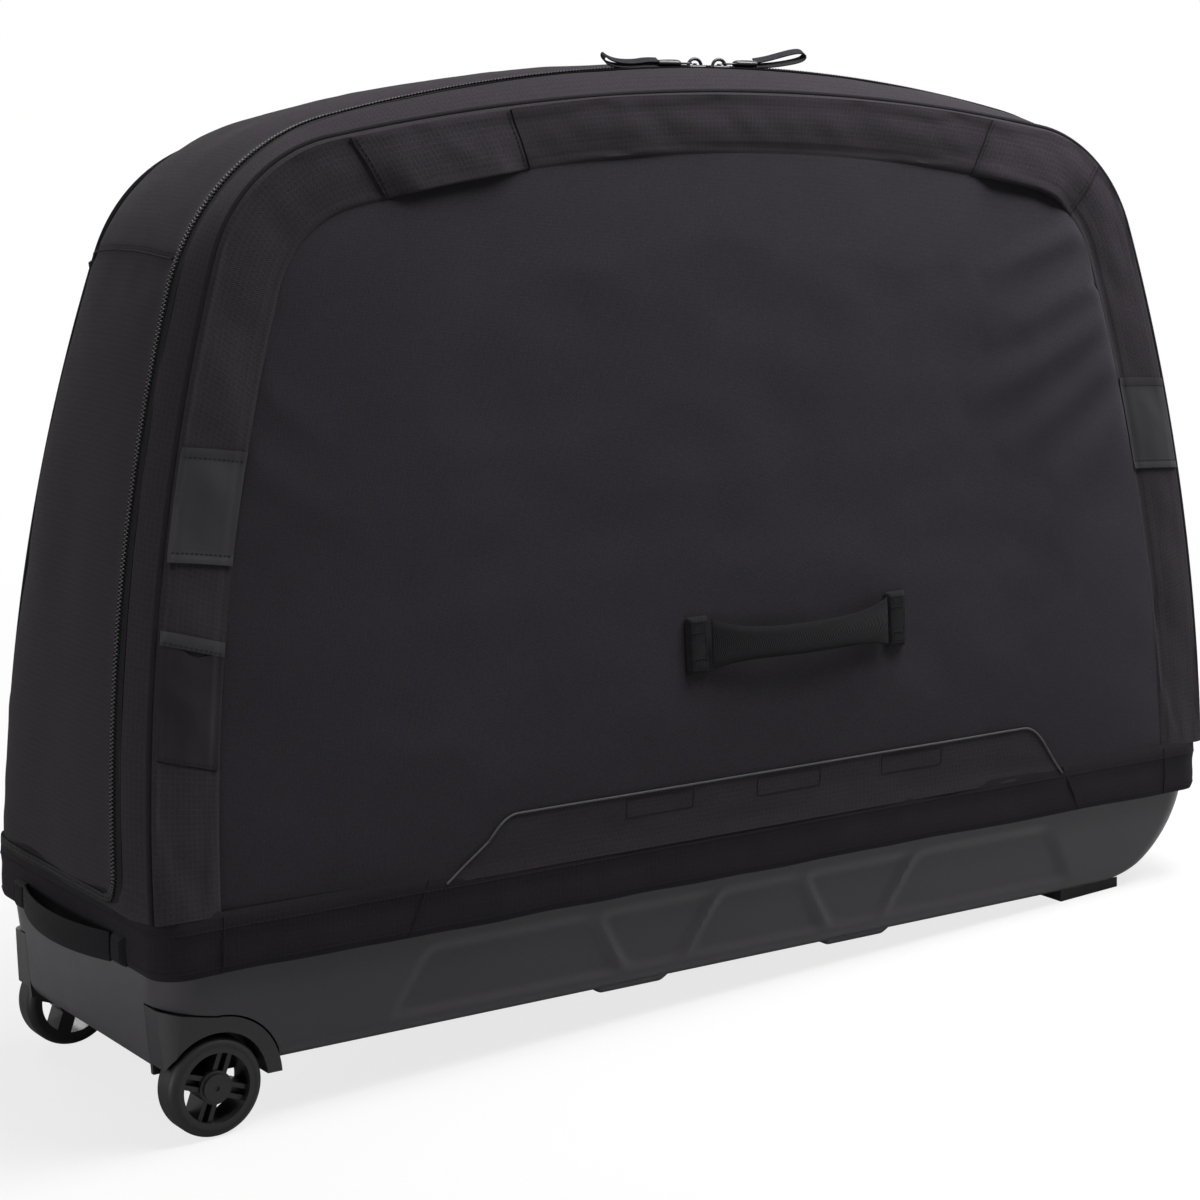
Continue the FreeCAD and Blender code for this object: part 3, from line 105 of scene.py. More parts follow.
bpy.ops.mesh.primitive_plane_add(size=40)
floor = bpy.context.object
floor.name = "studio_floor"
floor_paint, paint, _ = shader_of("pale_floor", {
    "Base Color": (0.45, 0.45, 0.45, 1), "Roughness": 0.9, "Specular IOR Level": 0.0})
floor.data.materials.append(floor_paint)
matt = paint.nodes["Principled BSDF"]
seen = add_node(paint, "ShaderNodeLightPath").outputs
spot = add_node(paint, "ShaderNodeTexCoord").outputs["Object"]
away = add_node(paint, "ShaderNodeVectorMath", {0: spot}, operation="LENGTH").outputs["Value"]
fade = add_node(paint, "ShaderNodeMapRange", {0: away, 1: 0.7, 2: 2.6, 3: 0.78, 4: 1.0}).outputs[0]
pale = add_node(paint, "ShaderNodeEmission", {"Color": (1, 1, 1, 1), "Strength": 1.0})
looks_white = math_node(paint, "MULTIPLY", seen["Is Camera Ray"], fade)
floor_mix = add_node(paint, "ShaderNodeMixShader", {0: looks_white, 1: matt.outputs[0], 2: pale.outputs[0]})
paint.links.new(floor_mix.outputs[0], paint.nodes["Material Output"].inputs["Surface"])


def lamp(name, place, aim, size, power):
    """A soft box of that size in metres, turned to its aim."""
    light = bpy.data.lights.new(name, "AREA")
    light.shape = "RECTANGLE"
    light.size, light.size_y = size
    light.energy = power
    soft_box = bpy.data.objects.new(name, light)
    bpy.context.scene.collection.objects.link(soft_box)
    soft_box.location = place
    soft_box.rotation_euler = (Vector(aim) - Vector(place)).to_track_quat("-Z", "Y").to_euler()


lamp("end_lamp", (-3.2, -0.4, 0.5), (-0.6, 0.0, 0.12), (1.6, 0.8), 56)
lamp("top_lamp", (0.8, -0.5, 3.2), (0.15, 0.0, 0.6), (2.0, 1.2), 175)
lamp("front_lamp", (1.9, -1.3, 2.9), (0.5, 0.0, 0.7), (1.0, 0.8), 68)
lamp("shoulder_lamp", (0.9, -0.45, 1.7), (0.45, -0.15, 0.7), (0.5, 0.5), 18)
lamp("back_lamp", (-0.6, 3.2, 2.2), (0.0, 0.0, 0.5), (2.0, 1.4), 60)
lamp("right_lamp", (3.2, -0.6, 1.4), (0.6, 0.0, 0.4), (1.2, 1.2), 9)

yaw = math.radians(34.37)
dip = math.radians(10.23)
look = Vector((math.sin(yaw) * math.cos(dip), math.cos(yaw) * math.cos(dip), -math.sin(dip)))
right = Vector((math.cos(yaw), -math.sin(yaw), 0))
facing = Matrix((right, right.cross(look), -look)).transposed().to_4x4()
camera = bpy.data.objects.new("camera", bpy.data.cameras.new("camera"))
bpy.context.scene.collection.objects.link(camera)
camera.data.sensor_width = 36
focal_pixels, frame_pixels = 2901, 1200
camera.data.lens = camera.data.sensor_width * focal_pixels / frame_pixels
camera.data.clip_end = 60
camera.matrix_world = Matrix.Translation(standing @ Vector((-1727.2, -2451.8, 955.2))) @ turned @ facing
bpy.context.scene.camera = camera
bpy.context.scene.view_settings.view_transform = "Standard"


# Tub: one deep tray, thermoformed from a charcoal sheet with a fine satin grain. Panels are
# pressed into its long sides, the lifting end sweeps up, and the corners are cut for the wheels.
def new_group(name, takes, gives):
    """A shader node group with its sockets: the tree, its own sums, what it is given and what it puts out."""
    group = bpy.data.node_groups.new(name, "ShaderNodeTree")
    for label, kind, value in takes:
        socket = group.interface.new_socket(label, in_out="INPUT", socket_type="NodeSocket" + kind)
        if value is not None:
            socket.default_value = value
    for label in gives:
        group.interface.new_socket(label, in_out="OUTPUT", socket_type="NodeSocketFloat")
    given_to, put_by = group.nodes.new("NodeGroupInput").outputs, group.nodes.new("NodeGroupOutput").inputs
    return group, partial(math_node, group), given_to, put_by


def cloud(tree, where, scale, detail=2.0, rough=0.5):
    return add_node(tree, "ShaderNodeTexNoise",
                    {"Vector": where, "Scale": scale, "Detail": detail, "Roughness": rough}).outputs["Fac"]


grain_group, calc, given, put_out = new_group(
    "moulded_grain", [("Place", "Vector", None), ("Grain", "Float", 900.0), ("Scuff", "Float", 30.0)],
    ["Height", "Tone", "Dulling"])
pebble = add_node(grain_group, "ShaderNodeTexVoronoi", {"Vector": given["Place"], "Scale": given["Grain"]})
soft_pebble = calc("MULTIPLY", pebble.outputs["Distance"], 0.6)
fine_pits = cloud(grain_group, given["Place"], given["Grain"])
grain_group.links.new(calc("ADD", soft_pebble, fine_pits), put_out["Height"])
drift = calc("MULTIPLY", cloud(grain_group, given["Place"], 7.0, 3.0), 0.65)
speck = calc("MULTIPLY", cloud(grain_group, given["Place"], 420.0, 1.0), 0.35)
grain_group.links.new(calc("ADD", drift, speck), put_out["Tone"])
grain_group.links.new(cloud(grain_group, given["Place"], given["Scuff"], 4.0, 0.6), put_out["Dulling"])


def cover(tree, shader, colour, swing, tone, height, relief, strength=1.0):
    """Gives a shader its relief and its colour, darker to lighter by a swing as the tone goes from 0 to 1."""
    dark = [part * (1 - swing) for part in colour] + [1]
    light = [part * (1 + swing) for part in colour] + [1]
    tint = add_node(tree, "ShaderNodeMix", {0: tone, 6: dark, 7: light}, data_type="RGBA")
    tree.links.new(tint.outputs[2], shader["Base Color"])
    bump = add_node(tree, "ShaderNodeBump", {"Height": height, "Distance": relief, "Strength": strength})
    tree.links.new(bump.outputs[0], shader["Normal"])


def moulded(name, colour, rough, grain, relief, swing, gloss=0.5, metal=0.0):
    """A moulded finish: pebbled grain, slow drift of tone and patches of duller skin."""
    finish, tree, shader = shader_of(name, {"Specular IOR Level": gloss, "Metallic": metal})
    place = add_node(tree, "ShaderNodeTexCoord").outputs["Object"]
    pebbled = add_node(tree, "ShaderNodeGroup", node_tree=grain_group)
    tree.links.new(place, pebbled.inputs["Place"])
    pebbled.inputs["Grain"].default_value = grain
    looks = pebbled.outputs
    cover(tree, shader, colour, swing, looks["Tone"], looks["Height"], relief, 0.8)
    span = add_node(tree, "ShaderNodeMapRange", {0: looks["Dulling"], 3: rough - 0.06, 4: rough + 0.08})
    tree.links.new(span.outputs[0], shader["Roughness"])
    return finish


def choose(piece):
    """Leaves the piece alone selected and active."""
    bpy.ops.object.select_all(action="DESELECT")
    piece.select_set(True)
    bpy.context.view_layer.objects.active = piece


def cloth(name, columns, rows, place, length, width, lay=None):
    """A cut of sheet: a grid with each point laid where place puts it, and a UV map in metres."""
    bpy.ops.mesh.primitive_grid_add(x_subdivisions=columns, y_subdivisions=rows, size=2)
    piece = bpy.context.object
    piece.name = name
    for point in piece.data.vertices:
        point.co = place((point.co.x + 1) / 2, (point.co.y + 1) / 2)
    for corner in piece.data.uv_layers.active.data:
        u, v = (corner.uv.x * length, corner.uv.y * width) if lay is None else lay(corner.uv.x, corner.uv.y)
        corner.uv = (u / 1000, v / 1000)
    return piece


def finish_with(piece, kind, **settings):
    """Adds a modifier to the piece and applies it."""
    choose(piece)
    step = piece.modifiers.new(kind.lower(), kind)
    for name, value in settings.items():
        setattr(step, name, value)
    bpy.ops.object.modifier_apply(modifier=step.name)


def thicken(piece, thickness, side=-1):
    """Gives a sheet its thickness, behind its face or, with side 1, before it."""
    finish_with(piece, "SOLIDIFY", thickness=thickness, offset=side)


def close_up(piece, gap, ends=True):
    """Merges the doubled points of a rolled-up sheet, fills its open ends and turns its faces outward."""
    choose(piece)
    bpy.ops.object.mode_set(mode="EDIT")
    bpy.ops.mesh.select_all(action="SELECT")
    bpy.ops.mesh.remove_doubles(threshold=gap)
    if ends:
        bpy.ops.mesh.fill_holes(sides=0)
        bpy.ops.mesh.select_all(action="SELECT")
        bpy.ops.mesh.normals_make_consistent(inside=False)
    bpy.ops.object.mode_set(mode="OBJECT")


def joined(name, pieces):
    """Makes one piece of several."""
    choose(pieces[0])
    for piece in pieces[1:]:
        piece.select_set(True)
    bpy.ops.object.join()
    pieces[0].name = name
    return pieces[0]


def block(name, low, high, round_edge, segments=3, taper=0.0):
    """A box between two corners with rounded edges; its foot is drawn in by a taper."""
    bpy.ops.mesh.primitive_cube_add(size=1)
    piece = bpy.context.object
    piece.name = name
    for point in piece.data.vertices:
        share = [0.5 + part for part in point.co]
        drawn = 0.0 if share[2] > 0.5 else taper
        inward = [drawn * (1 - 2 * share[0]), drawn * (1 - 2 * share[1]), 0.0]
        point.co = [a + (b - a) * s + d for a, b, s, d in zip(low, high, share, inward)]
    if round_edge:
        finish_with(piece, "BEVEL", width=round_edge, segments=segments, limit_method="ANGLE")
    return piece


def fit(piece, body, finish, slot, *nodes, crease=50):
    """Stands the piece with the case, gives it its finish and body, and lets it stand for its solids."""
    piece.data.transform(standing)
    choose(piece)
    bpy.ops.object.shade_smooth_by_angle(angle=math.radians(crease))
    piece.data.materials.clear()
    piece.data.materials.append(finish)
    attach(piece, body)
    if nodes:
        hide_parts(*nodes)


def paint_nodes(finish, *names):
    """Gives solids that keep their own shape a better finish."""
    for name in names:
        node = frame["nodes"][name]
        node.data.materials.clear()
        node.data.materials.append(finish)


def plan_spot(share, half_length, half_width, corner):
    """A point on a rounded outline in plan, from the middle of the wheel end on, and the way out there."""
    straight = (2 * (half_length - corner), 2 * (half_width - corner))
    bend = corner * math.pi / 2
    run = share * (2 * sum(straight) + 4 * bend)
    turns = ((Vector((-1, 0)), Vector((0, -1))), (Vector((0, -1)), Vector((1, 0))),
             (Vector((1, 0)), Vector((0, 1))), (Vector((0, 1)), Vector((-1, 0))))
    for index, (out_before, out_after) in enumerate(turns):
        side = straight[1 - index % 2]
        both = out_before + out_after
        centre = Vector((both.x * (half_length - corner), both.y * (half_width - corner)))
        if run <= side:
            return centre + out_before * corner - out_after * (side - run), out_before
        run -= side
        if run <= bend:
            turn = run / corner
            out = out_before * math.cos(turn) + out_after * math.sin(turn)
            return centre + out * corner, out
        run -= bend
    return Vector((-half_length, half_width - corner)), Vector((-1, 0))


tub_floor, tub_rim = 60.0, 190.0
half_tub, sweep = 648.0, 115.0
floor_share = 0.07


def tub_plan(z):
    """Ends and half width of the tub at a height: drafted walls, rounded lower edge, one swept end."""
    edge = 0.0 if z > 80 else 15 * (1 - math.sqrt(1 - ((80 - z) / 20) ** 2))
    left_end = -half_tub + 10 * (tub_rim - z) / 130 + edge
    right_end = half_tub
    if z <= 175:
        right_end += math.sqrt(max(sweep ** 2 - (175 - z) ** 2, 0)) - sweep
    return left_end, right_end, 183.5 - 12 * (tub_rim - z) / 116 - edge


def trapeze(low_left, low_right, high_left, high_right):
    """A pressed panel as edges, each with a point on it and the way in."""
    foot, head = 83, 140
    plan = ((low_left, foot), (low_right, foot), (high_right, head), (high_left, head))
    corners = [Vector(corner) for corner in plan]
    edges = []
    for start, end in zip(corners, corners[1:] + corners[:1]):
        along = (end - start).normalized()
        edges.append((start, Vector((-along.y, along.x))))
    return edges


pressed_panels = [trapeze(-53.5, 109.5, -19.5, 75.5), trapeze(126.5, 188.5, 92.5, 222.5),
                  trapeze(-132.5, -70.5, -166.5, -36.5), trapeze(205.5, 455.5, 239.5, 421.5),
                  trapeze(-399.5, -149.5, -365.5, -183.5)]


def clamp(t):
    return max(0.0, min(1.0, t))


def ease(t):
    """A share from 0 to 1 with a soft start and end."""
    return t * t * (3 - 2 * t)


def pressed(x, z):
    """How far a point of the long wall is pressed in, 0 to 1, with rounded corners."""
    deepest = -50.0
    spot = Vector((x, z))
    for edges in pressed_panels:
        shares = sum(math.exp(-0.22 * (spot - start).dot(inward)) for start, inward in edges)
        deepest = max(deepest, -math.log(shares) / 0.22)
    return ease(clamp((deepest + 9) / 13))


def tub_spot(a, b):
    """A point of the tub's outside, a round it, b from the middle of its floor up to its rim."""
    z, reach = tub_floor, b / floor_share
    if b >= floor_share:
        z, reach = z + (tub_rim - z) * ((b - floor_share) / (1 - floor_share)) ** 1.6, 1.0
    left_end, right_end, half_width = tub_plan(z)
    spot, out = plan_spot(a, (right_end - left_end) / 2, half_width, 40)
    if abs(out.y) > 0.999 and reach == 1.0:
        spot = spot - out * 5.0 * pressed(spot.x + (right_end + left_end) / 2, z)
    return Vector((spot.x * reach + (right_end + left_end) / 2, spot.y * reach, z))


tub_skin = moulded("tub_skin", (0.0275, 0.0257, 0.0283), 0.38, 1100.0, 0.00005, 0.12, 0.14)
tub = cloth("tub_shell", 720, 60, tub_spot, 3270, 190)
close_up(tub, 0.02, ends=False)
thicken(tub, 3.6)
for side in (-1, 1):
    well_y = side * 171
    bpy.ops.mesh.primitive_cylinder_add(vertices=128, radius=70.0, depth=75, rotation=(math.pi / 2, 0, 0),
                                        location=(hub.x, well_y, hub.z))
    arch = bpy.context.object
    bpy.ops.object.transform_apply(location=True, rotation=True)
    heel = block("heel", (-690, well_y - 37.5, -20), (hub.x, well_y + 37.5, 117.5), 0)
    for point in heel.data.vertices:
        if point.co.x < -650 and point.co.z > 0:
            point.co.z = 138.0
    finish_with(arch, "BOOLEAN", object=heel, operation="UNION", solver="EXACT")
    finish_with(tub, "BOOLEAN", object=arch, operation="DIFFERENCE", solver="EXACT")
    bpy.data.objects.remove(heel)
    bpy.data.objects.remove(arch)
skids = [block("skid", (place - 46, -165, 53.5), (place + 46, 165, 64), 5, 4, 8) for place in (-120, 170)]
fit(joined("tub_shell", [tub] + skids), "base", tub_skin, "tub", "base_tub", crease=32)
bright_steel = moulded("bright_steel", (0.42, 0.42, 0.43), 0.36, 2400.0, 0.00003, 0.12, metal=1.0)
paint_nodes(bright_steel, "rim_rivets", "rail_bolts", "axle_nuts", "axle_front", "axle_rear", "fork_axle",
            "axle_spacer_front", "axle_spacer_rear", "bearings_front", "bearings_rear")
paint_nodes(moulded("strip_alloy", (0.30, 0.30, 0.31), 0.42, 1800.0, 0.00004, 0.15, metal=1.0),
            "rim_strip", "mount_rail")


# Wheels: black tyres of hard rubber on nylon cores, each core with four channelled spokes and
# a press-in hub cap; they turn in housings of black nylon let into the corners of the tub.
tyre_rubber = moulded("tyre_rubber", (0.011, 0.0107, 0.0118), 0.46, 700.0, 0.00006, 0.25, 0.14)
core_nylon = moulded("core_nylon", (0.010, 0.0098, 0.0106), 0.3, 1500.0, 0.00003, 0.2, 0.22)
housing_nylon = moulded("housing_nylon", (0.013, 0.0125, 0.0138), 0.38, 1300.0, 0.00004, 0.2, 0.2)
foot_rubber = moulded("foot_rubber", (0.013, 0.0127, 0.0138), 0.6, 800.0, 0.0001, 0.25, 0.12)
paint_nodes(tyre_rubber, "tyre_front", "tyre_rear")
paint_nodes(core_nylon, "wheel_core_front", "wheel_core_rear", "hub_cap_front", "hub_cap_rear")
paint_nodes(housing_nylon, "wheel_housing_front", "wheel_housing_rear", "fork_mount", "bracket_cradle")
paint_nodes(foot_rubber, "glide_foot_front", "glide_foot_rear")


# Cradle pad: a strip of closed-cell foam glued into the saddle of the bike mount, so that the
# bicycle's tube rests on it without being marked.
saddle_x, saddle_z, saddle_round = -70, 191, 28.8


def pad_spot(a, b):
    turn = math.radians(206 + 128 * a)
    return Vector((saddle_x + saddle_round * math.cos(turn), 21.6 - 43.2 * b,
                   saddle_z + saddle_round * math.sin(turn)))


cradle_pad = cloth("cradle_foam", 24, 14, pad_spot, 62, 43)
thicken(cradle_pad, 2.8)
finish_with(cradle_pad, "BEVEL", width=0.9, segments=3, limit_method="ANGLE")
pad_foam = moulded("pad_foam", (0.02, 0.02, 0.022), 0.85, 600.0, 0.0003, 0.3, 0.15)
fit(cradle_pad, "base", pad_foam, "pad", "cradle_pad")


# Hem: a doubled band of tight cloth sewn to the shell, pulled down over the rim of the tub and
# clamped to it from inside; it puckers slightly along its lower edge.
weave_group, calc, given, put_out = new_group(
    "woven_threads", [("UV", "Vector", None), ("Pitch", "Float", 0.0014), ("Rip", "Float", 0.006),
                      ("Rip Depth", "Float", 0.0)], ["Height", "Tone"])


def over_pitch(pitch):
    """The UV map counted in pitches, split into its two ways."""
    counted = add_node(weave_group, "ShaderNodeVectorMath", {0: given["UV"], 3: calc("DIVIDE", 1.0, pitch)},
                       operation="SCALE").outputs[0]
    return counted, add_node(weave_group, "ShaderNodeSeparateXYZ", {0: counted}).outputs


def thread_round(count):
    return calc("ABSOLUTE", calc("SINE", calc("MULTIPLY", count, math.pi)))


def rib_line(count):
    return calc("LESS_THAN", calc("FRACT", count), 0.3)


threads, ways = over_pitch(given["Pitch"])
over = add_node(weave_group, "ShaderNodeTexChecker", {"Vector": threads, "Scale": 1.0}).outputs["Fac"]
crossing = add_node(weave_group, "ShaderNodeMix",
                    {0: over, 2: thread_round(ways[0]), 3: thread_round(ways[1])})
rib_ways = over_pitch(given["Rip"])[1]
rib_lines = calc("MAXIMUM", rib_line(rib_ways[0]), rib_line(rib_ways[1]))
rib_height = calc("MULTIPLY", rib_lines, given["Rip Depth"])
weave_group.links.new(calc("ADD", crossing.outputs[0], rib_height), put_out["Height"])
slub_ways = [add_node(weave_group, "ShaderNodeMapping", {0: given["UV"], 3: stretch}).outputs[0]
             for stretch in ((60, 1400, 1), (1400, 60, 1))]
slubs = calc("ADD", *[cloud(weave_group, way, 1.0, 1.0) for way in slub_ways])
mottled = calc("MULTIPLY", cloud(weave_group, given["UV"], 420.0, 2.0, 0.7), 0.9)
drift = calc("MULTIPLY", cloud(weave_group, given["UV"], 14.0, 3.0), 0.2)
faded = calc("ADD", drift, calc("SUBTRACT", mottled, 0.45))
patchy = calc("ADD", calc("MULTIPLY", slubs, 0.34), faded)
ribbed = calc("MULTIPLY", rib_height, 0.5)
weave_group.links.new(calc("ADD", patchy, ribbed), put_out["Tone"])


def woven(name, colour, pitch, relief, rip=0.006, rip_depth=0.0, swing=0.35):
    """A woven finish on the piece's own UV map: crossing threads, slubs, and a ripstop grid if asked."""
    finish, tree, shader = shader_of(name, {
        "Roughness": 0.86, "Specular IOR Level": 0.03, "Sheen Weight": 0.02, "Sheen Roughness": 0.45,
        "Sheen Tint": (0.9, 0.86, 0.95, 1)})
    cloth_threads = add_node(tree, "ShaderNodeGroup", node_tree=weave_group)
    tree.links.new(add_node(tree, "ShaderNodeUVMap").outputs[0], cloth_threads.inputs["UV"])
    for socket, value in (("Pitch", pitch), ("Rip", rip), ("Rip Depth", rip_depth)):
        cloth_threads.inputs[socket].default_value = value
    looks = cloth_threads.outputs
    cover(tree, shader, colour, swing, looks["Tone"], looks["Height"], relief, 0.7)
    return finish


def ripple(where, size, amount, seed):
    """A gentle waviness of cloth, the same in every run."""
    return amount * noise.noise(Vector(where) / size + Vector((seed * 7.3, seed * 1.7, seed * 3.1)))


def profile_depth(profile, q):
    """Depth of a padded band part way across, smoothed between its measured points."""
    for (low, first), (high, last) in zip(profile, profile[1:]):
        if q <= high:
            return first + (last - first) * ease((q - low) / (high - low))
    return profile[-1][1]


hem_cloth = woven("hem_cloth", (0.0095, 0.0085, 0.0102), 0.0011, 0.0003, 0.0052, 0.35)
hem_plan = (652.3, 187.8, 30)
hem_length = 4 * (hem_plan[0] + hem_plan[1] - 2 * hem_plan[2]) + 2 * math.pi * hem_plan[2]
hem_height = 57
hem_line = 160
hem_profile = [(0.0, 1.2), (0.06, -0.6), (0.3, -1.0), (0.55, -0.4), (0.74, -1.2), (0.92, -0.2), (1.0, 2.2)]


def hem_spot(a, b, lift=0.0):
    spot, out = plan_spot(a, *hem_plan)
    wave = ripple((spot.x, spot.y, b * 60), 70, 1.4, 11) + ripple((spot.x, spot.y, b * 40), 26, 0.7, 12)
    proud = lift - profile_depth(hem_profile, b) + wave * (math.sin(math.pi * b) + 0.8 * (1 - b) ** 4)
    height = hem_line + hem_height * b + ripple((spot.x, spot.y, 0), 90, 1.6, 13) * (1 - b)
    return Vector((spot.x + out.x * proud, spot.y + out.y * proud, height))


hem = cloth("hem_band_cloth", 420, 12, hem_spot, hem_length, hem_height)
close_up(hem, 0.3, ends=False)
thicken(hem, 2.4)
fit(hem, "base", hem_cloth, "hem_fabric", "hem_band")


# Stitching: heavy bonded thread, a row of short stitches wherever two layers are sewn down. Here
# it runs along both edges of the hem, and thin cords mark where the hem is pieced.
thread_polyester = woven("thread_polyester", (0.012, 0.0115, 0.0127), 0.0004, 0.0001)


def copies_of(name, model, places):
    """One piece made of many copies of a small model, each at its own place."""
    points = [vertex.co.copy() for vertex in model.data.vertices]
    faces = [list(face.vertices) for face in model.data.polygons]
    mesh = bpy.data.meshes.new(name)
    mesh.from_pydata([place @ point for place in places for point in points], [],
                     [[corner + len(points) * index for corner in face]
                      for index in range(len(places)) for face in faces])
    mesh.uv_layers.new(name="UVMap")
    bpy.data.objects.remove(model)
    piece = bpy.data.objects.new(name, mesh)
    bpy.context.scene.collection.objects.link(piece)
    return piece


def axes(spot, along, side, up):
    return Matrix.Translation(spot) @ Matrix((along, side, up)).transposed().to_4x4()


def heading(line, t, step):
    """The way a line runs at a share of it."""
    return (line(min(t + step, 1)) - line(max(t - step, 0))).normalized()


def sew(name, body, slot, rows, pitch=4.6):
    """Rows of stitches; a row is a function of its own share, its length, and the way out of the cloth."""
    bpy.ops.mesh.primitive_uv_sphere_add(segments=6, ring_count=5, radius=1)
    one = bpy.context.object
    one.data.transform(Matrix.Rotation(math.pi / 2, 4, "Y"))
    one.data.transform(Matrix.Diagonal((1.75, 0.5, 0.42, 1)))
    places = []
    for line, length, out in rows:
        count = max(2, int(length / pitch))
        for index in range(count):
            t = (index + 0.5) / count
            along = heading(line, t, 0.3 / count)
            up = Vector(out(t) if callable(out) else out)
            side = up.cross(along).normalized()
            places.append(axes(line(t), along, side, along.cross(side)))
    stitches = copies_of(name, one, places)
    fit(stitches, body, thread_polyester, slot)


def tube(name, columns, spot, radius, length, sides=12):
    """A cord of that radius round a line; spot gives its middle and two directions across it."""
    def place(a, b):
        here, out, over_it = spot(a)
        turn = 2 * math.pi * b
        return here + out * (radius * math.cos(turn)) + over_it * (radius * math.sin(turn))
    piece = cloth(name, columns, sides, place, length, 2 * math.pi * radius)
    close_up(piece, 0.05)
    return piece


seam_cords = []
for high_x, low_x in ((-373, -396), (433, 459), (-588, -590), (588, 590)):
    def hem_seam(t):
        here = Vector((high_x + (low_x - high_x) * t, -189.2 + 1.0 * math.cos(6 * t), 213 - 52 * t))
        return here, Vector((0, -1, 0)), Vector((1, 0, 0))
    seam_cords.append(tube("hem_seam", 14, hem_seam, 0.8, hem_height, 8))
fit(joined("hem_seams", seam_cords), "base", hem_cloth, "hem_fabric")


def hem_out(t):
    way = plan_spot(t, *hem_plan)[1]
    return way.x, way.y, 0.0


sew("hem_stitches", "base", "hem_fabric",
    [(lambda t, b=b: hem_spot(t, b, 0.15), hem_length, hem_out) for b in (0.12, 0.74)])


# Soft shell: its front and back panels are arches that lean towards each other above the hem.
# One smooth skin runs from the front piping over zip and gusset to the back piping.
half_depth = 188
lean = math.radians(4.26)
rise_in = math.sin(lean)
rise_up = math.cos(lean)
front_out = Vector((0.0, -rise_up, rise_in))
panel_arch = (653, 783, 40, 1900, 160, 2400)
seam_arch = (587, 723, 20, 1900, 110, 2000)
swell_arch = (665, 808, 40, 1900, 225, 1900)
tuck_arch = (643, 773, 40, 1890, 150, 2390)
middle_arch = (665, 805.8, 40, 1900, 225, 1900)
back_arch = (661.7, 802.8, 40, 1898.5, 213.8, 1973.5)


def front(x, v, depth=0.0):
    """A point on the front panel, v up the panel from the hem line, depth below its face."""
    return Vector((x, v * rise_in + depth * rise_up - half_depth, hem_line + v * rise_up - depth * rise_in))


def back(x, v, depth=0.0):
    return Vector((x, half_depth - v * rise_in - depth * rise_up, hem_line + v * rise_up - depth * rise_in))


def middle(x, v, depth=0.0):
    return Vector((x, depth, hem_line + v))


class ArchLine:
    """An outline from its left foot over the crown to its right foot, by the share of its length."""

    def __init__(self, half, rise, widest, side, corner, top, base):
        self.side_centre = Vector((half - side, widest))
        self.top_centre = Vector((0, rise - top))
        self.radii = (side, corner, top)
        apart = self.top_centre - self.side_centre
        along = apart.normalized()
        step = ((side - corner) ** 2 - (top - corner) ** 2 + apart.length_squared) / (2 * apart.length)
        height = math.sqrt((side - corner) ** 2 - step ** 2)
        foot = self.side_centre + along * step
        across = Vector((-along.y, along.x)) * height
        self.corner_centre = max(foot + across, foot - across, key=lambda spot: spot.x + spot.y)
        self.low = math.asin((base - widest) / side)
        reach = self.corner_centre - self.side_centre
        self.shoulder = math.atan2(reach.y, reach.x)
        reach = self.corner_centre - self.top_centre
        self.brow = math.atan2(reach.y, reach.x)
        self.runs = (side * (self.shoulder - self.low), corner * (self.brow - self.shoulder),
                     top * (math.pi / 2 - self.brow))
        self.length = 2 * sum(self.runs)

    def __call__(self, share):
        run = min(share, 1 - share) * self.length
        side, corner, top = self.radii
        if run < self.runs[0]:
            centre, radius, angle = self.side_centre, side, self.low + run / side
        elif run < self.runs[0] + self.runs[1]:
            centre, radius, angle = self.corner_centre, corner, self.shoulder + (run - self.runs[0]) / corner
        else:
            past = run - self.runs[0] - self.runs[1]
            centre, radius, angle = self.top_centre, top, self.brow + past / top
        x = centre.x + radius * math.cos(angle)
        return (x if share > 0.5 else -x), centre.y + radius * math.sin(angle)

    def edge_gap(self, x, v):
        """How far inside the outline a point lies."""
        side, corner, top = self.radii
        beside = self.side_centre.x + math.sqrt(side ** 2 - (v - self.side_centre.y) ** 2) - abs(x)
        gap = min(beside, self.top_centre.y + math.sqrt(top ** 2 - x ** 2) - v)
        if abs(x) > self.corner_centre.x and v > self.corner_centre.y:
            gap = min(gap, corner - (Vector((abs(x), v)) - self.corner_centre).length)
        return max(gap, 0.0)

    def share_at(self, x=None, v=None):
        """The share at which the outline passes an x, or on its left side a height."""
        low, high = (0.0, 1.0) if v is None else (0.0, 0.5)
        for _ in range(40):
            share = (low + high) / 2
            spot = self(share)
            if (spot[0] < x) if v is None else (spot[1] < v):
                low = share
            else:
                high = share
        return low


def arch_line(sizes, depth, lift=0.0):
    """An outline that starts level with the top of the hem, for a layer at that depth."""
    return ArchLine(*sizes, (52.3 + lift + depth * rise_in) / rise_up)


stations = [(0.0, front, 7, arch_line(panel_arch, 7)), (0.07, front, 40, arch_line(swell_arch, 40)),
            (0.15, front, 66, arch_line(swell_arch, 66)), (0.5, middle, 0, ArchLine(*middle_arch, 52.3)),
            (0.86, back, 52, arch_line(back_arch, 52)), (1.0, back, 16.5, arch_line(tuck_arch, 16.5))]
skin_length = stations[2][3].length
zip_across = 0.106


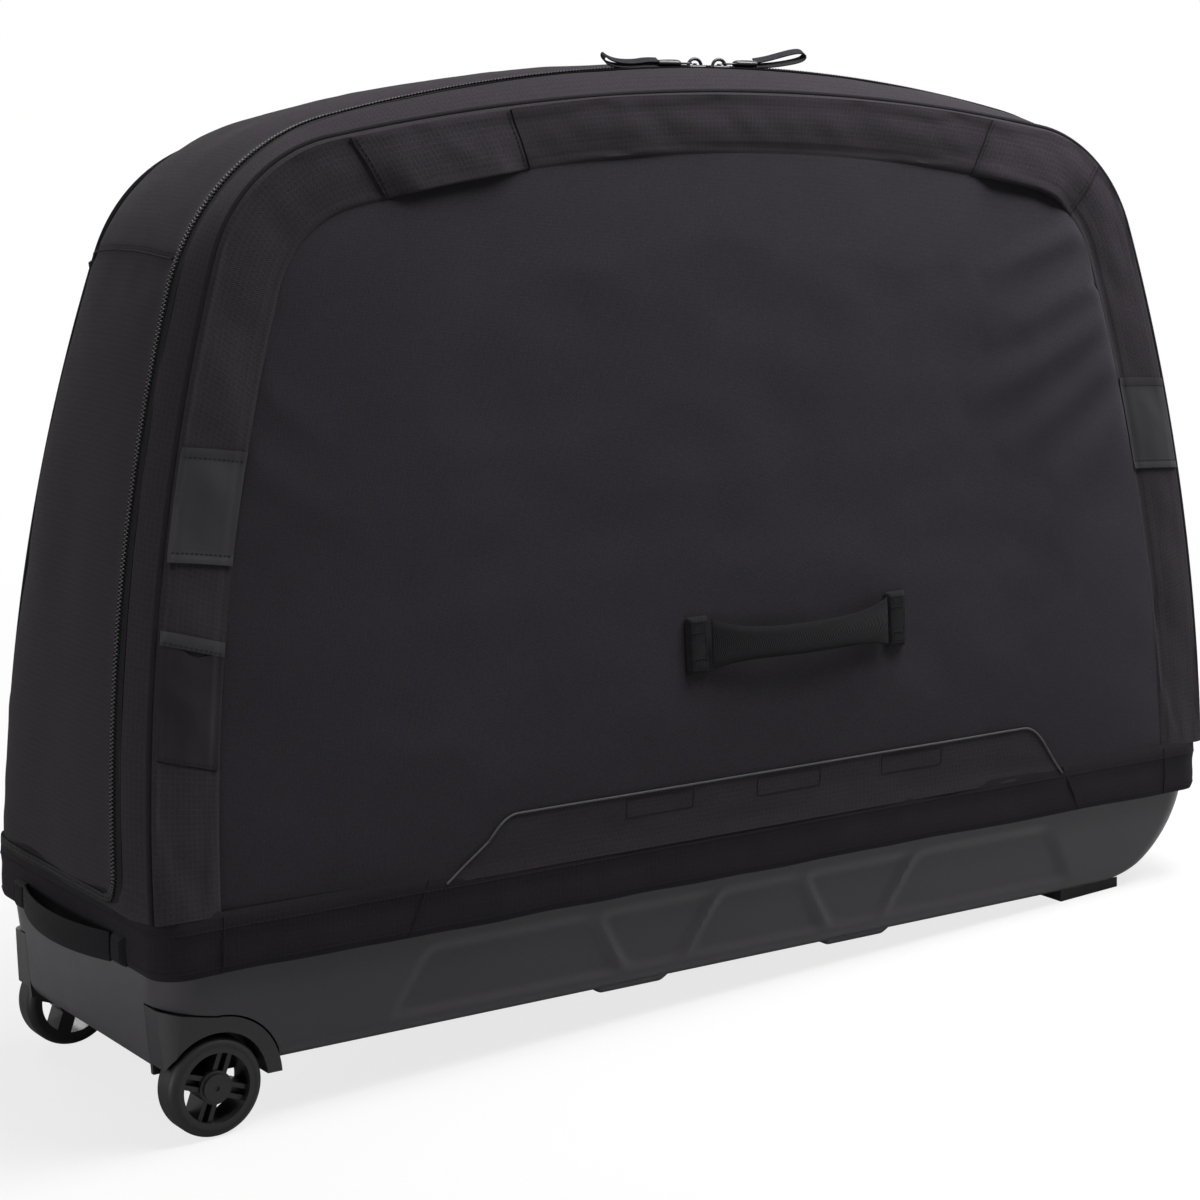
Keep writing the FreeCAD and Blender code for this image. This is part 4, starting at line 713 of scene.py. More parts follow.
def skin_point(share, across):
    """A point of the shell's side, across from the front piping (0) to the back piping (1)."""
    index = 0
    while index < 4 and across > stations[index + 1][0]:
        index += 1
    near = max(index - 1, 0)
    far = min(index + 2, 5)
    spots = {k: stations[k][1](*stations[k][3](share), stations[k][2]) for k in range(near, far + 1)}
    at = [station[0] for station in stations]
    span = at[index + 1] - at[index]
    leave = (spots[index + 1] - spots[near]) * (span / (at[index + 1] - at[near]))
    arrive = (spots[far] - spots[index]) * (span / (at[far] - at[index]))
    t = (across - at[index]) / span
    return (spots[index] * (2 * t ** 3 - 3 * t ** 2 + 1) + leave * (t ** 3 - 2 * t ** 2 + t)
            + spots[index + 1] * (3 * t ** 2 - 2 * t ** 3) + arrive * (t ** 3 - t ** 2))


def skin_out(share, across):
    """The way out of the shell's side."""
    along = skin_point(min(share + 0.002, 1), across) - skin_point(max(share - 0.002, 0), across)
    over_it = skin_point(share, min(across + 0.01, 1)) - skin_point(share, max(across - 0.01, 0))
    return along.cross(over_it).normalized()


def skin(share, across, proud=0.0):
    """A point of the shell's side, lifted off it."""
    spot = skin_point(share, across)
    return spot + skin_out(share, across) * proud if proud else spot


main_cloth = woven("main_cloth", (0.0178, 0.0164, 0.0196), 0.0013, 0.0002, swing=0.45)
rim_cloth = woven("rim_cloth", (0.0182, 0.0156, 0.0188), 0.0010, 0.0004, 0.0052, 0.5)
piping_cloth = woven("piping_cloth", (0.0105, 0.0095, 0.0112), 0.0008, 0.0002)


# Gusset of the door: ripstop over thin foam, sewn between the zip and the back piping. Its
# lower corners beside the zip are rounded, it swells most at the crown, and a seam crosses it
# below each shoulder.
run_low = 11.7
corner_round = 28.0
foot_width = 344.0
gusset_width = 320
tape_reach = 9.5
cross_share = stations[2][3].share_at(v=640)


def rounded_corner(run, reach):
    """Draws the corner beside the zip into a quarter circle; run is up from the foot, reach from the zip."""
    p = corner_round - run
    q = corner_round - reach
    if p <= 0 or q <= 0:
        return run, reach
    pull = max(p, q) / math.hypot(p, q)
    return corner_round - p * pull, corner_round - q * pull


def door_spot(a, b):
    """A point of the door's gusset, a along it from foot to foot, b from the zip to the back piping."""
    whole = skin_length - 2 * run_low
    run = a * whole
    near_foot = min(run, whole - run)
    reach = tape_reach + b * ((1 - zip_across) * foot_width - tape_reach)
    lifted, reached = rounded_corner(near_foot, reach)
    run += (lifted - near_foot) * (1 if a < 0.5 else -1)
    share = (run + run_low) / skin_length
    across = zip_across + reached / foot_width
    edge = min(b, 1 - b, 0.12) / 0.12
    wave = ripple((run, reach * 1.4, 0), 120, 2.2, 1) + ripple((run * 1.7, reach * 0.6, 0), 46, 1.0, 2)
    seam = math.exp(-((min(share, 1 - share) - cross_share) * skin_length / 5) ** 2) * 1.6
    welt = 1.6 * math.exp(-b * gusset_width / 9)
    return skin(share, min(across, 1), wave * edge - 0.8 * (1 - edge) - seam + welt)


def settle(piece, columns, cap, slack=0.0):
    """Lets a padded sheet swell as cloth sewn down along its edge; no point moves further than the cap."""
    scene = bpy.context.scene
    mesh = piece.data
    mesh.transform(Matrix.Scale(0.001, 4))
    before = [point.co.copy() for point in mesh.vertices]
    last = len(before) // (columns + 1) - 1
    edge = [k for k in range(len(before))
            if k % (columns + 1) in (0, columns) or k // (columns + 1) in (0, last)]
    sewn = piece.vertex_groups.new(name="sewn_edge")
    sewn.add(edge, 1.0, "REPLACE")
    choose(piece)
    step = piece.modifiers.new("swell", "CLOTH")
    fabric = step.settings
    fabric.quality = 5
    fabric.mass = 0.25
    fabric.tension_stiffness = fabric.compression_stiffness = 18
    fabric.shear_stiffness = 6
    fabric.bending_stiffness = 6
    fabric.vertex_group_mass = sewn.name
    fabric.shrink_min = -slack
    fabric.use_pressure = True
    fabric.uniform_pressure_force = 1.5
    fabric.effector_weights.gravity = 0
    for moment in range(1, 21):
        scene.frame_set(moment)
    bpy.ops.object.modifier_apply(modifier=step.name)
    scene.frame_set(1)
    for point, start in zip(mesh.vertices, before):
        move = point.co - start
        if move.length > cap:
            point.co = start + move * (cap / move.length)
    piece.vertex_groups.clear()
    mesh.transform(Matrix.Scale(1000, 4))


door_gusset = cloth("door_gusset", 320, 30, door_spot, skin_length, gusset_width)
settle(door_gusset, 320, 0.005)
thicken(door_gusset, 6)
fit(door_gusset, "door", rim_cloth, "rim_fabric", "rear_gusset")
sew("gusset_stitches", "door", "rim_fabric",
    [(lambda t, share=share: skin(share, 0.14 + 0.84 * t, 0.5), 290,
      lambda t, share=share: skin_out(share, 0.14 + 0.84 * t))
     for share in (cross_share + 0.0022, 1 - cross_share - 0.0022)])
gusset_seams = []
for share in (cross_share, 1 - cross_share):
    def cross_seam(t):
        across = 0.145 + 0.85 * t
        along = heading(lambda other: skin_point(other, across), share, 0.002)
        return skin(share, across, 1.4), skin_out(share, across), along
    gusset_seams.append(tube("gusset_seam", 60, cross_seam, 1.2, 290, 8))
fit(joined("gusset_seams", gusset_seams), "door", piping_cloth, "piping")


# Front gusset: a narrow strip of the same ripstop from the front piping to the zip, which
# turns along both ends below the zip and is sewn down with the hem.
low_run = (0.94 - zip_across) * foot_width - corner_round
bend_run = corner_round * math.pi / 2
zip_length = 2 * (low_run + bend_run) + skin_length - 2 * (run_low + corner_round)


def zip_run(t):
    """The zip's own line, from the back foot of one end round to the other, as share, across and run."""
    gone = min(t, 1 - t) * zip_length
    if gone < low_run:
        run, reach = run_low, corner_round + low_run - gone
    elif gone < low_run + bend_run:
        angle = (gone - low_run) / corner_round
        run = run_low + corner_round * (1 - math.cos(angle))
        reach = corner_round * (1 - math.sin(angle))
    else:
        run, reach = run_low + corner_round + gone - low_run - bend_run, 0.0
    share = run / skin_length
    return (share if t < 0.5 else 1 - share), zip_across + reach / foot_width, gone


def strip_spot(t, b):
    """A point of the front gusset, b from the piping and hem to the zip."""
    share, across, gone = zip_run(t)
    half_bend = bend_run / 2
    if gone < low_run:
        outer = (0.0, across)
    elif gone < low_run + half_bend:
        outer = (0.0, (1 - (gone - low_run) / half_bend) * (zip_across + corner_round / foot_width))
    elif gone < low_run + bend_run:
        outer = ((gone - low_run - half_bend) / half_bend * (run_low + corner_round) / skin_length, 0.0)
    else:
        outer = (min(share, 1 - share), 0.0)
    start = outer[0] if t < 0.5 else 1 - outer[0]
    b *= 0.7
    share = start + (share - start) * b
    across = outer[1] + (across - outer[1]) * b
    wave = ripple((t * zip_length, b * 40, 0), 60, 1.2, 3) * math.sin(math.pi * b)
    low = clamp((low_run + half_bend - gone) / half_bend)
    tucked = 10 * low * max(0.0, 1 - 2 * b) ** 2
    return skin(share, across, wave + 0.5 * math.sin(math.pi * b) - tucked)


front_strip = cloth("front_gusset_strip", 420, 10, strip_spot, zip_length, 36)
thicken(front_strip, 4)
fit(front_strip, "base", rim_cloth, "rim_fabric", "front_gusset")


# Zip: a nylon coil zip sewn between the two gussets. Each half is a woven tape with a row of
# teeth, one half on the case and one on the door.
tape_cloth = woven("tape_cloth", (0.0078, 0.0075, 0.0085), 0.0009, 0.0003)
tape_width = 13
tooth_pitch = 3.6
coil_nylon = moulded("coil_nylon", (0.009, 0.0088, 0.0096), 0.42, 2400.0, 0.00002, 0.2, 0.12)


def zip_place(t, sideways, proud):
    """A point beside the zip's line and the line's own directions there."""
    share, across = zip_run(t)[:2]
    here = skin_point(share, across)
    along = heading(lambda other: skin_point(*zip_run(other)[:2]), t, 0.0006)
    up = skin_out(share, across)
    side = up.cross(along).normalized()
    return here + side * sideways + up * proud, along, side, up


def tooth():
    """One bend of the coil: a little rounded bar across the zip."""
    return block("tooth", (-0.75, -2.5, -1.1), (0.75, 2.5, 1.1), 0.5, 1)


for way, body, tag, beside in ((-1, "base", "front", "front_gusset_strip"),
                               (1, "door", "rear", "door_gusset")):
    def tape_spot(t, b):
        reach = 0.4 + tape_width * (b if way > 0 else 1 - b)
        return zip_place(t, reach * way, 0.6 - 0.1 * reach)[0]
    tape = cloth("zip_tape_" + tag, 420, 3, tape_spot, zip_length, tape_width)
    thicken(tape, 1.0)
    fit(tape, body, tape_cloth, "zip_tape", tag + "_zip_tape")
    count = int(zip_length / tooth_pitch)
    offset = 0.25 if way > 0 else 0.75
    places = [axes(*zip_place((index + offset) / count, 2.0 * way, 1.6)) for index in range(count)]
    teeth = copies_of("zip_teeth_" + tag, tooth(), places)
    fit(teeth, body, coil_nylon, "zip_coil", tag + "_zip_coil")


# Piping: a round cord wrapped in fabric, sewn into the edge of the front and of the back panel. It
# keeps the line of the arch and takes the wear of the edge.
def edge_spot(across, proud):
    def spot(a):
        ahead = heading(lambda other: skin_point(other, across), a, 0.001)
        out = skin_out(a, across)
        return skin(a, across, proud), out, ahead.cross(out)
    return spot


for tag, body, across in (("front", "base", 0.0), ("rear", "door", 1.0)):
    cord = tube(tag + "_piping_cord", 260, edge_spot(across, 0.8), 2.7, 2600)
    fit(cord, body, piping_cloth, "piping", tag + "_piping")


# Rim: padded ripstop band round the front panel, from the main seam to the piping; it rolls over
# the foam's edge down to the piping and puckers a little at the shoulders.
rim_outer = arch_line(panel_arch, 12)
rim_inner = arch_line(seam_arch, 17)
rim_profile = [(0.0, 3.2), (0.05, 0.4), (0.2, -2.2), (0.5, -3.2), (0.8, -2.4), (0.94, -0.6), (0.985, 2.0),
               (1.0, 5.5)]


def rim_spot(share, q, proud=0.0):
    """A point of the rim, q across it from the main seam to the piping."""
    x, v = Vector(rim_inner(share)).lerp(Vector(rim_outer(share)), q)
    puffed = math.sin(math.pi * min(q / 0.95, 1))
    wave = ripple((x, v, 0), 90, 2.2, 4) + ripple((x + v, (x - v) * 0.35, 0), 38, 1.8, 5)
    shallow = 2.4 * clamp((x - 380) / 120) * max(0.0, 1 - 10 * q)
    return front(x, v, profile_depth(rim_profile, q) - (wave + 0.5) * puffed - shallow - proud)


def skin_tree(piece):
    """The faces of a sheet as it lies now, for finding points on it."""
    return BVHTree.FromPolygons([point.co.copy() for point in piece.data.vertices],
                                [list(face.vertices) for face in piece.data.polygons])


def lift_off(tree, spot, proud):
    """A point lifted off a swollen sheet, straight over a spot of the front."""
    hit = tree.ray_cast(spot + front_out * 60, -front_out, 120)[0]
    return (hit or spot) + front_out * proud


rim = cloth("padded_rim", 320, 20, lambda a, b: rim_spot(a, 1 - b), rim_outer.length, 66)
settle(rim, 320, 0.003, slack=0.001)
rim_skin = skin_tree(rim)
thicken(rim, 8, 1)
fit(rim, "base", rim_cloth, "rim_fabric", "front_rim")


def on_rim(share, q, proud):
    return lift_off(rim_skin, rim_spot(share, q), proud)


# Main panel: plain heavy cloth over foam and a stiff board, crowned, and pulled into the seam all
# round. It slackens towards the right grip, where soft folds run down from the shoulder.
folds = [((560, 600), (330, 520), 20, 8.5), ((565, 560), (300, 455), 22, 9.5),
         ((560, 515), (350, 400), 20, 8.0), ((500, 640), (330, 590), 14, 5.0),
         ((570, 470), (420, 360), 20, 6.0), ((540, 420), (380, 300), 24, 4.5),
         ((-575, 560), (-450, 470), 16, 3.0), ((-560, 470), (-420, 380), 20, 2.6)]


def patch_spot(line, a, b, share=0.245):
    """A point inside an arch, spread evenly between its foot, its sides and its crown."""
    foot = Vector(line(0)).lerp(Vector(line(1)), a)
    crown = Vector(line(share + (1 - 2 * share) * a))
    sides = Vector(line(share * b)).lerp(Vector(line(1 - share * b)), a)
    top = Vector(line(share)).lerp(Vector(line(1 - share)), a)
    return foot.lerp(crown, b) + sides - foot.lerp(top, b)


def fold_height(x, v):
    """The soft folds of the front: ridges that fade from the seam inwards."""
    total = 0.0
    for start, end, width, height in folds:
        start = Vector(start)
        line = Vector(end) - start
        spot = Vector((x, v)) - start
        t = clamp(spot.dot(line) / line.length_squared)
        total += height * math.exp(-((spot - line * t).length / width) ** 2) * (1 - t) ** 0.6
    return total


def panel_depth(line, x, v, seed):
    """How deep the cloth of a panel lies: sewn down at its edge, crowned and a little wavy inside."""
    sewn = 1 - math.exp(-line.edge_gap(x, v) / 26)
    hung = 1 - math.exp(-max(v - 48, 0) / 18)
    arched = math.cos(min(abs(x) / 665, 1) * math.pi / 2) ** 0.7
    dome = 8.0 * arched * math.sin(math.pi * min(0.18 + (v - 54) / 800, 1))
    wave = ripple((x, v, 0), 210, 4.0, seed) + ripple((x, v * 1.4, 0), 75, 1.7, seed + 1)
    shallow = 2.6 * clamp((x - 380) / 120)
    return 3.0 - shallow - (3.6 + wave) * sewn * hung - dome * sewn


def panel_spot(a, b):
    x, v = patch_spot(rim_inner, a, b)
    return front(x, v, panel_depth(rim_inner, x, v, 6))


main_panel = cloth("main_panel", 150, 92, panel_spot, 1174, 720,
                   lambda a, b: patch_spot(rim_inner, a, b))
settle(main_panel, 150, 0.005)
for point in main_panel.data.vertices:
    height = (point.co.z - hem_line) / rise_up
    eased = 1 - math.exp(-rim_inner.edge_gap(point.co.x, height) / 9)
    point.co += front_out * fold_height(point.co.x, height) * eased
panel_skin = skin_tree(main_panel)


def on_panel(x, v, proud=0.0):
    return lift_off(panel_skin, front(x, v), proud)


thicken(main_panel, 10)
fit(main_panel, "base", main_cloth, "main_fabric", "front_panel")
board_sheet = moulded("board_sheet", (0.03, 0.03, 0.032), 0.6, 500.0, 0.0001, 0.2, 0.3)
paint_nodes(board_sheet, "front_board", "rear_board")


# Back panel of the door: the same heavy cloth over foam, in one cut from piping to piping. A
# round bound edge along its foot is the fold on which the door swings down.
back_line = arch_line(tuck_arch, 16.5, 5)


def back_spot(a, b):
    x, v = patch_spot(back_line, 1 - a, b)
    drawn = 9 * math.exp(-back_line.edge_gap(x, v) / 12)
    return back(x, v, panel_depth(back_line, x, v, 9) + 1 + drawn)


back_panel = cloth("back_panel", 150, 92, back_spot, 1286, 770, lambda a, b: patch_spot(back_line, 1 - a, b))
settle(back_panel, 150, 0.005)
thicken(back_panel, 9)
fit(back_panel, "door", main_cloth, "main_fabric", "rear_panel")
binding = tube("fold_binding", 60, lambda a: (Vector((600 - 1200 * a, 185.8, 214.65)), Vector((0, 1, 0)),
                                             Vector((0, 0, 1))), 2.35, 1200)
fit(binding, "base", piping_cloth, "hem_fabric", "hinge_binding")


# Grips: two padded straps of ripstop let into the shoulders of the rim, sewn along the piping and
# at both ends, open towards the panel so that a hand goes in.
def grip(name, first, last, node):
    start, end = rim_outer.share_at(x=first), rim_outer.share_at(x=last)
    length = (end - start) * rim_outer.length

    def spot(a, b, extra=0.0):
        free = ease(min(1, min(a, 1 - a) * length / 42))
        q = 0.955 - 0.975 * b
        lifted = 0.9 + 8.6 * free * max(0.0, 1 - q) ** 1.2
        wave = ripple((a * length, b * 60, 0), 40, 0.9, 21) * free
        return on_rim(start + (end - start) * a, max(q, 0.0), lifted + wave + extra)

    def seam_spot(a):
        def line(t):
            here = spot(a, 0.02 + 0.96 * t, 0.1)
            ahead = (spot(a, 0.04 + 0.96 * t) - spot(a, 0.02 + 0.96 * t)).normalized()
            return here, front_out, ahead.cross(front_out).normalized()
        return line
    piece = cloth(name, 48, 16, spot, length, 62)
    thicken(piece, 7.5, 1)
    finish_with(piece, "BEVEL", width=1.6, segments=3, limit_method="ANGLE", angle_limit=math.radians(55))
    fit(piece, "base", rim_cloth, "rim_fabric", node)
    # Each end seam is a thin cord of the darker piping cloth. The seam is real, but its dark line is partly
    # painted shade of the seam's groove.
    for side, a in (("start", 0.0), ("end", 1.0)):
        cord = tube(name + "_seam_shade_line_" + side, 20, seam_spot(a), 0.9, 62, 8)
        fit(cord, "base", piping_cloth, "piping")
    sew(name + "_stitches", "base", "rim_fabric",
        [(lambda t, a=a: spot(a, 0.04 + 0.9 * t, 0.25), 56, front_out) for a in (0.028, 0.972)])


grip("shoulder_grip_left", -417, -243, "grip_left")
grip("shoulder_grip_right", 361, 513, "grip_right")


# Rim patches: smooth coated panels sewn over the rim where hands and hooks rub, with turned-in
# edges above and below.
patch_coat = moulded("patch_coat", (0.0172, 0.0165, 0.0185), 0.5, 1600.0, 0.00003, 0.1, 0.12)


def window(low_v, high_v, drop):
    """A place on the left of the rim between two heights, its cross lines falling by a drop to the panel."""
    ends = [(rim_inner.share_at(v=v - drop), rim_outer.share_at(v=v)) for v in (low_v, high_v)]

    def share(a, q):
        low, high = [inner + (outer - inner) * q for inner, outer in ends]
        return low + (high - low) * a
    return share


def cross_row(place, a, length):
    """A row of stitches across a piece that lies on the rim."""
    return lambda t: place(a, 0.03 + 0.94 * t) + front_out * 0.3, length, front_out


coats = []
for name, place in (("left", window(376, 476, 10)), ("right", window(366, 467, -4))):
    def coat_spot(a, b):
        q = 0.965 - 0.945 * b
        share = place(a, q) if name == "left" else 1 - place(1 - a, q)
        turned_in = 0.9 * math.exp(-(min(a, 1 - a) * 110 / 7) ** 4)
        return on_rim(share, q, 1.3 + turned_in)
    coat = cloth("rim_coat_" + name, 40, 24, coat_spot, 110, 62)
    thicken(coat, 1.2, 1)
    coats.append(coat)
    sew("coat_stitches_" + name, "base", "patch",
        [cross_row(coat_spot, a, 60) for a in (0.085, 0.915)])
fit(joined("rim_coats", coats), "base", patch_coat, "patch", "rim_patches")


# Document pocket: a clear film window in a cloth pocket on the rim, with a coated strip along its
# mouth and a thumb notch.
pocket_film, film_tree, film_shader = shader_of("pocket_film", {
    "Specular IOR Level": 0.1, "Coat Weight": 0.03, "Coat Roughness": 0.1})
film_ripple = cloud(film_tree, add_node(film_tree, "ShaderNodeTexCoord").outputs["Object"], 26.0, 2.0)
cover(film_tree, film_shader, (0.0098, 0.0078, 0.0104), 0.3, film_ripple, film_ripple, 0.004, 0.35)
film_span = add_node(film_tree, "ShaderNodeMapRange", {0: film_ripple, 3: 0.22, 4: 0.42}).outputs[0]
film_tree.links.new(film_span, film_shader["Roughness"])
pocket_place = window(203, 305, 19)
mouth_place = window(304, 317, 19)


def film_spot(a, b):
    q = 0.95 - 0.9 * b
    slack = 0.8 * math.sin(math.pi * a) * math.sin(math.pi * b)
    notch = 6.0 * math.exp(-((b - 0.55) / 0.2) ** 2) * a ** 6
    return on_rim(pocket_place(a, q) - notch / rim_outer.length, q, 1.0 + slack)


def mouth_spot(a, b):
    q = 0.965 - 0.945 * b
    return on_rim(mouth_place(a, q), q, 1.5 + 0.4 * math.sin(math.pi * a))


film = cloth("pocket_window", 40, 24, film_spot, 102, 60)
thicken(film, 0.8, 1)
fit(film, "base", pocket_film, "pocket", "document_pocket")
mouth = cloth("pocket_mouth", 8, 24, mouth_spot, 13, 62)
thicken(mouth, 1.4, 1)
fit(mouth, "base", patch_coat, "patch")
sew("pocket_stitches", "base", "pocket",
    [cross_row(film_spot, 0.03, 56), cross_row(mouth_spot, 0.2, 56)])


# Flap: a low apron of ripstop over the foot of the main panel, caught in the hem seam and edged
# with a thin pale cord; three boxes of stitches hold it down.
flap_cloth = woven("flap_cloth", (0.0182, 0.0156, 0.0188), 0.0010, 0.0004, 0.0050, 0.45)
flap_foot = 46
flap_rise = 57
edge_cord = woven("edge_cord", (0.05, 0.049, 0.054), 0.0007, 0.0002)


def flap_line(b):
    """Left end and length of the flap at a share of its height."""
    return -354 + 48 * b, 786 - 74 * b


def flap_spot(a, b, extra=0.0):
    """A point of the flap, a along it, b up from the hem; its upper corners are round."""
    rounding = (1 - min(1, a * 760 / 34)) ** 2 + (1 - min(1, (1 - a) * 760 / 34)) ** 2
    v = flap_foot + (flap_rise - 22 * rounding) * b
    start, length = flap_line(b)
    x = start + length * a
    sag = ripple((x, v * 2, 0), 60, 1.4, 31) * math.sin(math.pi * b)
    rest = (on_panel(x, max(v, 60)) - front(x, max(v, 60))).dot(front_out)
    return front(x, v, min(-rest - 1.6, 0.8) - sag - extra)


flap = cloth("flap_apron", 160, 14, flap_spot, 750, 58)
thicken(flap, 1.6)
fit(flap, "base", flap_cloth, "flap_fabric", "front_flap")


def flap_edge(t):
    """Round the free edge: up the left side, along the top, down the right side."""
    if t < 0.08:
        a, b = 0.0, t / 0.08
    elif t < 0.92:
        a, b = (t - 0.08) / 0.84, 1.0
    else:
        a, b = 1.0, (1 - t) / 0.08
    return flap_spot(a, b, 0.5)


def flap_cord_spot(t):
    return flap_edge(t), front_out, heading(flap_edge, t, 0.004).cross(front_out).normalized()


flap_cord = tube("flap_edge_cord", 240, flap_cord_spot, 1.15, 880, 8)
fit(flap_cord, "base", edge_cord, "piping")


def front_row(start, end, place):
    """A row of stitches on the front, between two points that place lays on the cloth."""
    start, end = Vector(start), Vector(end)
    return lambda t: place(*start.lerp(end, t)), (end - start).length, front_out


def box_rows(low_x, high_x, low_v, high_v, place):
    """The four sides of a stitched box."""
    corners = [(low_x, low_v), (high_x, low_v), (high_x, high_v), (low_x, high_v)]
    return [front_row(start, end, place) for start, end in zip(corners, corners[1:] + corners[:1])]


def on_flap(x, v):
    b = (v - flap_foot) / flap_rise
    start, length = flap_line(b)
    return flap_spot((x - start) / length, b, 0.3)


sew("flap_stitches", "base", "flap_fabric",
    [row for x in (-148, 13, 176) for row in box_rows(x, x + 81, 80, 98, on_flap)], 3.6)


# Carry handle: herringbone webbing, full width at its sewn ends and folded double in the middle,
# standing off the panel between two stitched anchors.
web_group, calc, given, put_out = new_group(
    "herringbone", [("UV", "Vector", None), ("Pitch", "Float", 0.0022), ("Column", "Float", 0.007)],
    ["Height", "Tone"])
web_ways = add_node(web_group, "ShaderNodeSeparateXYZ", {0: given["UV"]}).outputs
slant = calc("PINGPONG", web_ways[1], given["Column"])
diagonal = calc("DIVIDE", calc("ADD", web_ways[0], slant), given["Pitch"])
twill = calc("SINE", calc("MULTIPLY", diagonal, 2 * math.pi))
web_group.links.new(calc("MULTIPLY", twill, 0.5), put_out["Height"])
web_fuzz = cloud(web_group, given["UV"], 700.0, 1.0)
web_tone = calc("ADD", calc("MULTIPLY", twill, 0.22), web_fuzz)
web_group.links.new(web_tone, put_out["Tone"])
webbing, web_tree, web_shader = shader_of("webbing_twill", {
    "Roughness": 0.7, "Specular IOR Level": 0.03, "Sheen Weight": 0.02, "Sheen Roughness": 0.4})
web_weave = add_node(web_tree, "ShaderNodeGroup", node_tree=web_group)
web_tree.links.new(add_node(web_tree, "ShaderNodeUVMap").outputs[0], web_weave.inputs["UV"])
looks = web_weave.outputs
cover(web_tree, web_shader, (0.0085, 0.008, 0.009), 0.5, looks["Tone"], looks["Height"], 0.0007)
handle_x, handle_v, half_handle = 65, 242, 112
anchor_wide, anchor_high = 26, 58
anchor_middles = (-62, 192)
handle_rest = sum((on_panel(x, handle_v) - front(x, handle_v)).dot(front_out) for x in anchor_middles) / 2


def handle_spot(a, b):
    """A point of the strap: a along it, b round its flat cross-section."""
    reach = abs(2 * a - 1)
    half = 15.5 + 9.5 * reach ** 4
    plump = 3.4 - 2.2 * reach ** 3
    stand = handle_rest + 8.5 + 8 * (1 - reach ** 2) ** 0.8
    turn = 2 * math.pi * b
    flat = math.copysign(abs(math.cos(turn)) ** 0.5, math.cos(turn))
    x = handle_x + half_handle * (2 * a - 1)
    v = handle_v - 5 * (1 - reach ** 2) + half * flat
    seam = 0.9 * math.exp(-((flat - 0.1) / 0.07) ** 2) * (1 - reach ** 4) if math.sin(turn) > 0 else 0.0
    return front(x, v, -stand - plump * math.sin(turn) + seam)


handle = cloth("carry_strap", 72, 40, handle_spot, 232, 84)
close_up(handle, 0.02)
fit(handle, "carry_handle", webbing, "webbing", "front_handle")
anchor_pieces = []
anchor_rows = []


def on_anchor(x, v):
    return on_panel(x, v, 7.7)


def pillow(a, b, wide, high, soft):
    """How far a small sewn patch has risen from its edge, 0 to 1."""
    edge = min(a * wide, (1 - a) * wide, b * high, (1 - b) * high)
    return 1 - math.exp(-edge / soft)


for middle_x in anchor_middles:
    def anchor_spot(a, b):
        x = middle_x + anchor_wide * (a - 0.5)
        v = handle_v + anchor_high * (b - 0.5)
        return on_panel(x, v, 2.0 + 5.4 * pillow(a, b, anchor_wide, anchor_high, 2.2))
    patch = cloth("handle_anchor", 16, 28, anchor_spot, anchor_wide, anchor_high)
    thicken(patch, 2.2)
    anchor_pieces.append(patch)
    low_x, high_x = middle_x - 9, middle_x + 9
    anchor_rows += box_rows(low_x, high_x, 218, 266, on_anchor)
    anchor_rows += [front_row((low_x, v), (high_x, v), on_anchor) for v in (229, 255)]
fit(joined("carry_anchors", anchor_pieces), "base", webbing, "webbing", "handle_anchors")
sew("anchor_stitches", "base", "webbing", anchor_rows, 3.2)


# End straps: a short length of the same webbing across each end of the hem, bowed out, its two
# ends folded under and sewn down.
strap_width = 28
tab_length = 25
tabs = []
tab_rows = []


def tab_row(place, way, start, end, length):
    """A row of stitches on a tab, between two of its own places."""
    lifted = Vector((0.25 * way, 0, 0))
    return lambda t: place(*Vector(start).lerp(Vector(end), t)) + lifted, length, (way, 0, 0)


for way, name in ((-1, "left"), (1, "right")):
    def strap_spot(a, b):
        reach = 2 * a - 1
        bow = 1 - reach ** 2
        x = (658.4 + 15.5 * bow + 0.8 * math.cos(math.pi * (b - 0.5))) * way
        return Vector((x, 97 * reach * way, hem_line + strap_width * b - 1.5 * bow))
    strap = cloth("end_strap_" + name, 60, 8, strap_spot, 200, strap_width)
    thicken(strap, 2.6)
    finish_with(strap, "BEVEL", width=0.7, segments=2, limit_method="ANGLE")
    fit(strap, "end_strap_" + name, webbing, "webbing", "end_handle_" + name)
    for side in (-1, 1):
        def tab_spot(a, b, way=way, side=side):
            x = (653.6 + 5.8 * pillow(a, b, tab_length, strap_width, 1.8)) * way
            y = side * (96.5 + tab_length * (a if side * way > 0 else 1 - a))
            return Vector((x, y, hem_line + strap_width * b))
        tab = cloth("strap_tab", 14, 14, tab_spot, tab_length, strap_width)
        thicken(tab, 2.0)
        tabs.append(tab)
        tab_rows += [tab_row(tab_spot, way, (0.12, b), (0.88, b), 19) for b in (0.2, 0.8)]
        tab_rows += [tab_row(tab_spot, way, (a, 0.2), (a, 0.8), 17) for a in (0.15, 0.85)]
fit(joined("strap_tabs", tabs), "base", webbing, "webbing", "end_handle_tabs")
sew("tab_stitches", "base", "webbing", tab_rows, 3.2)


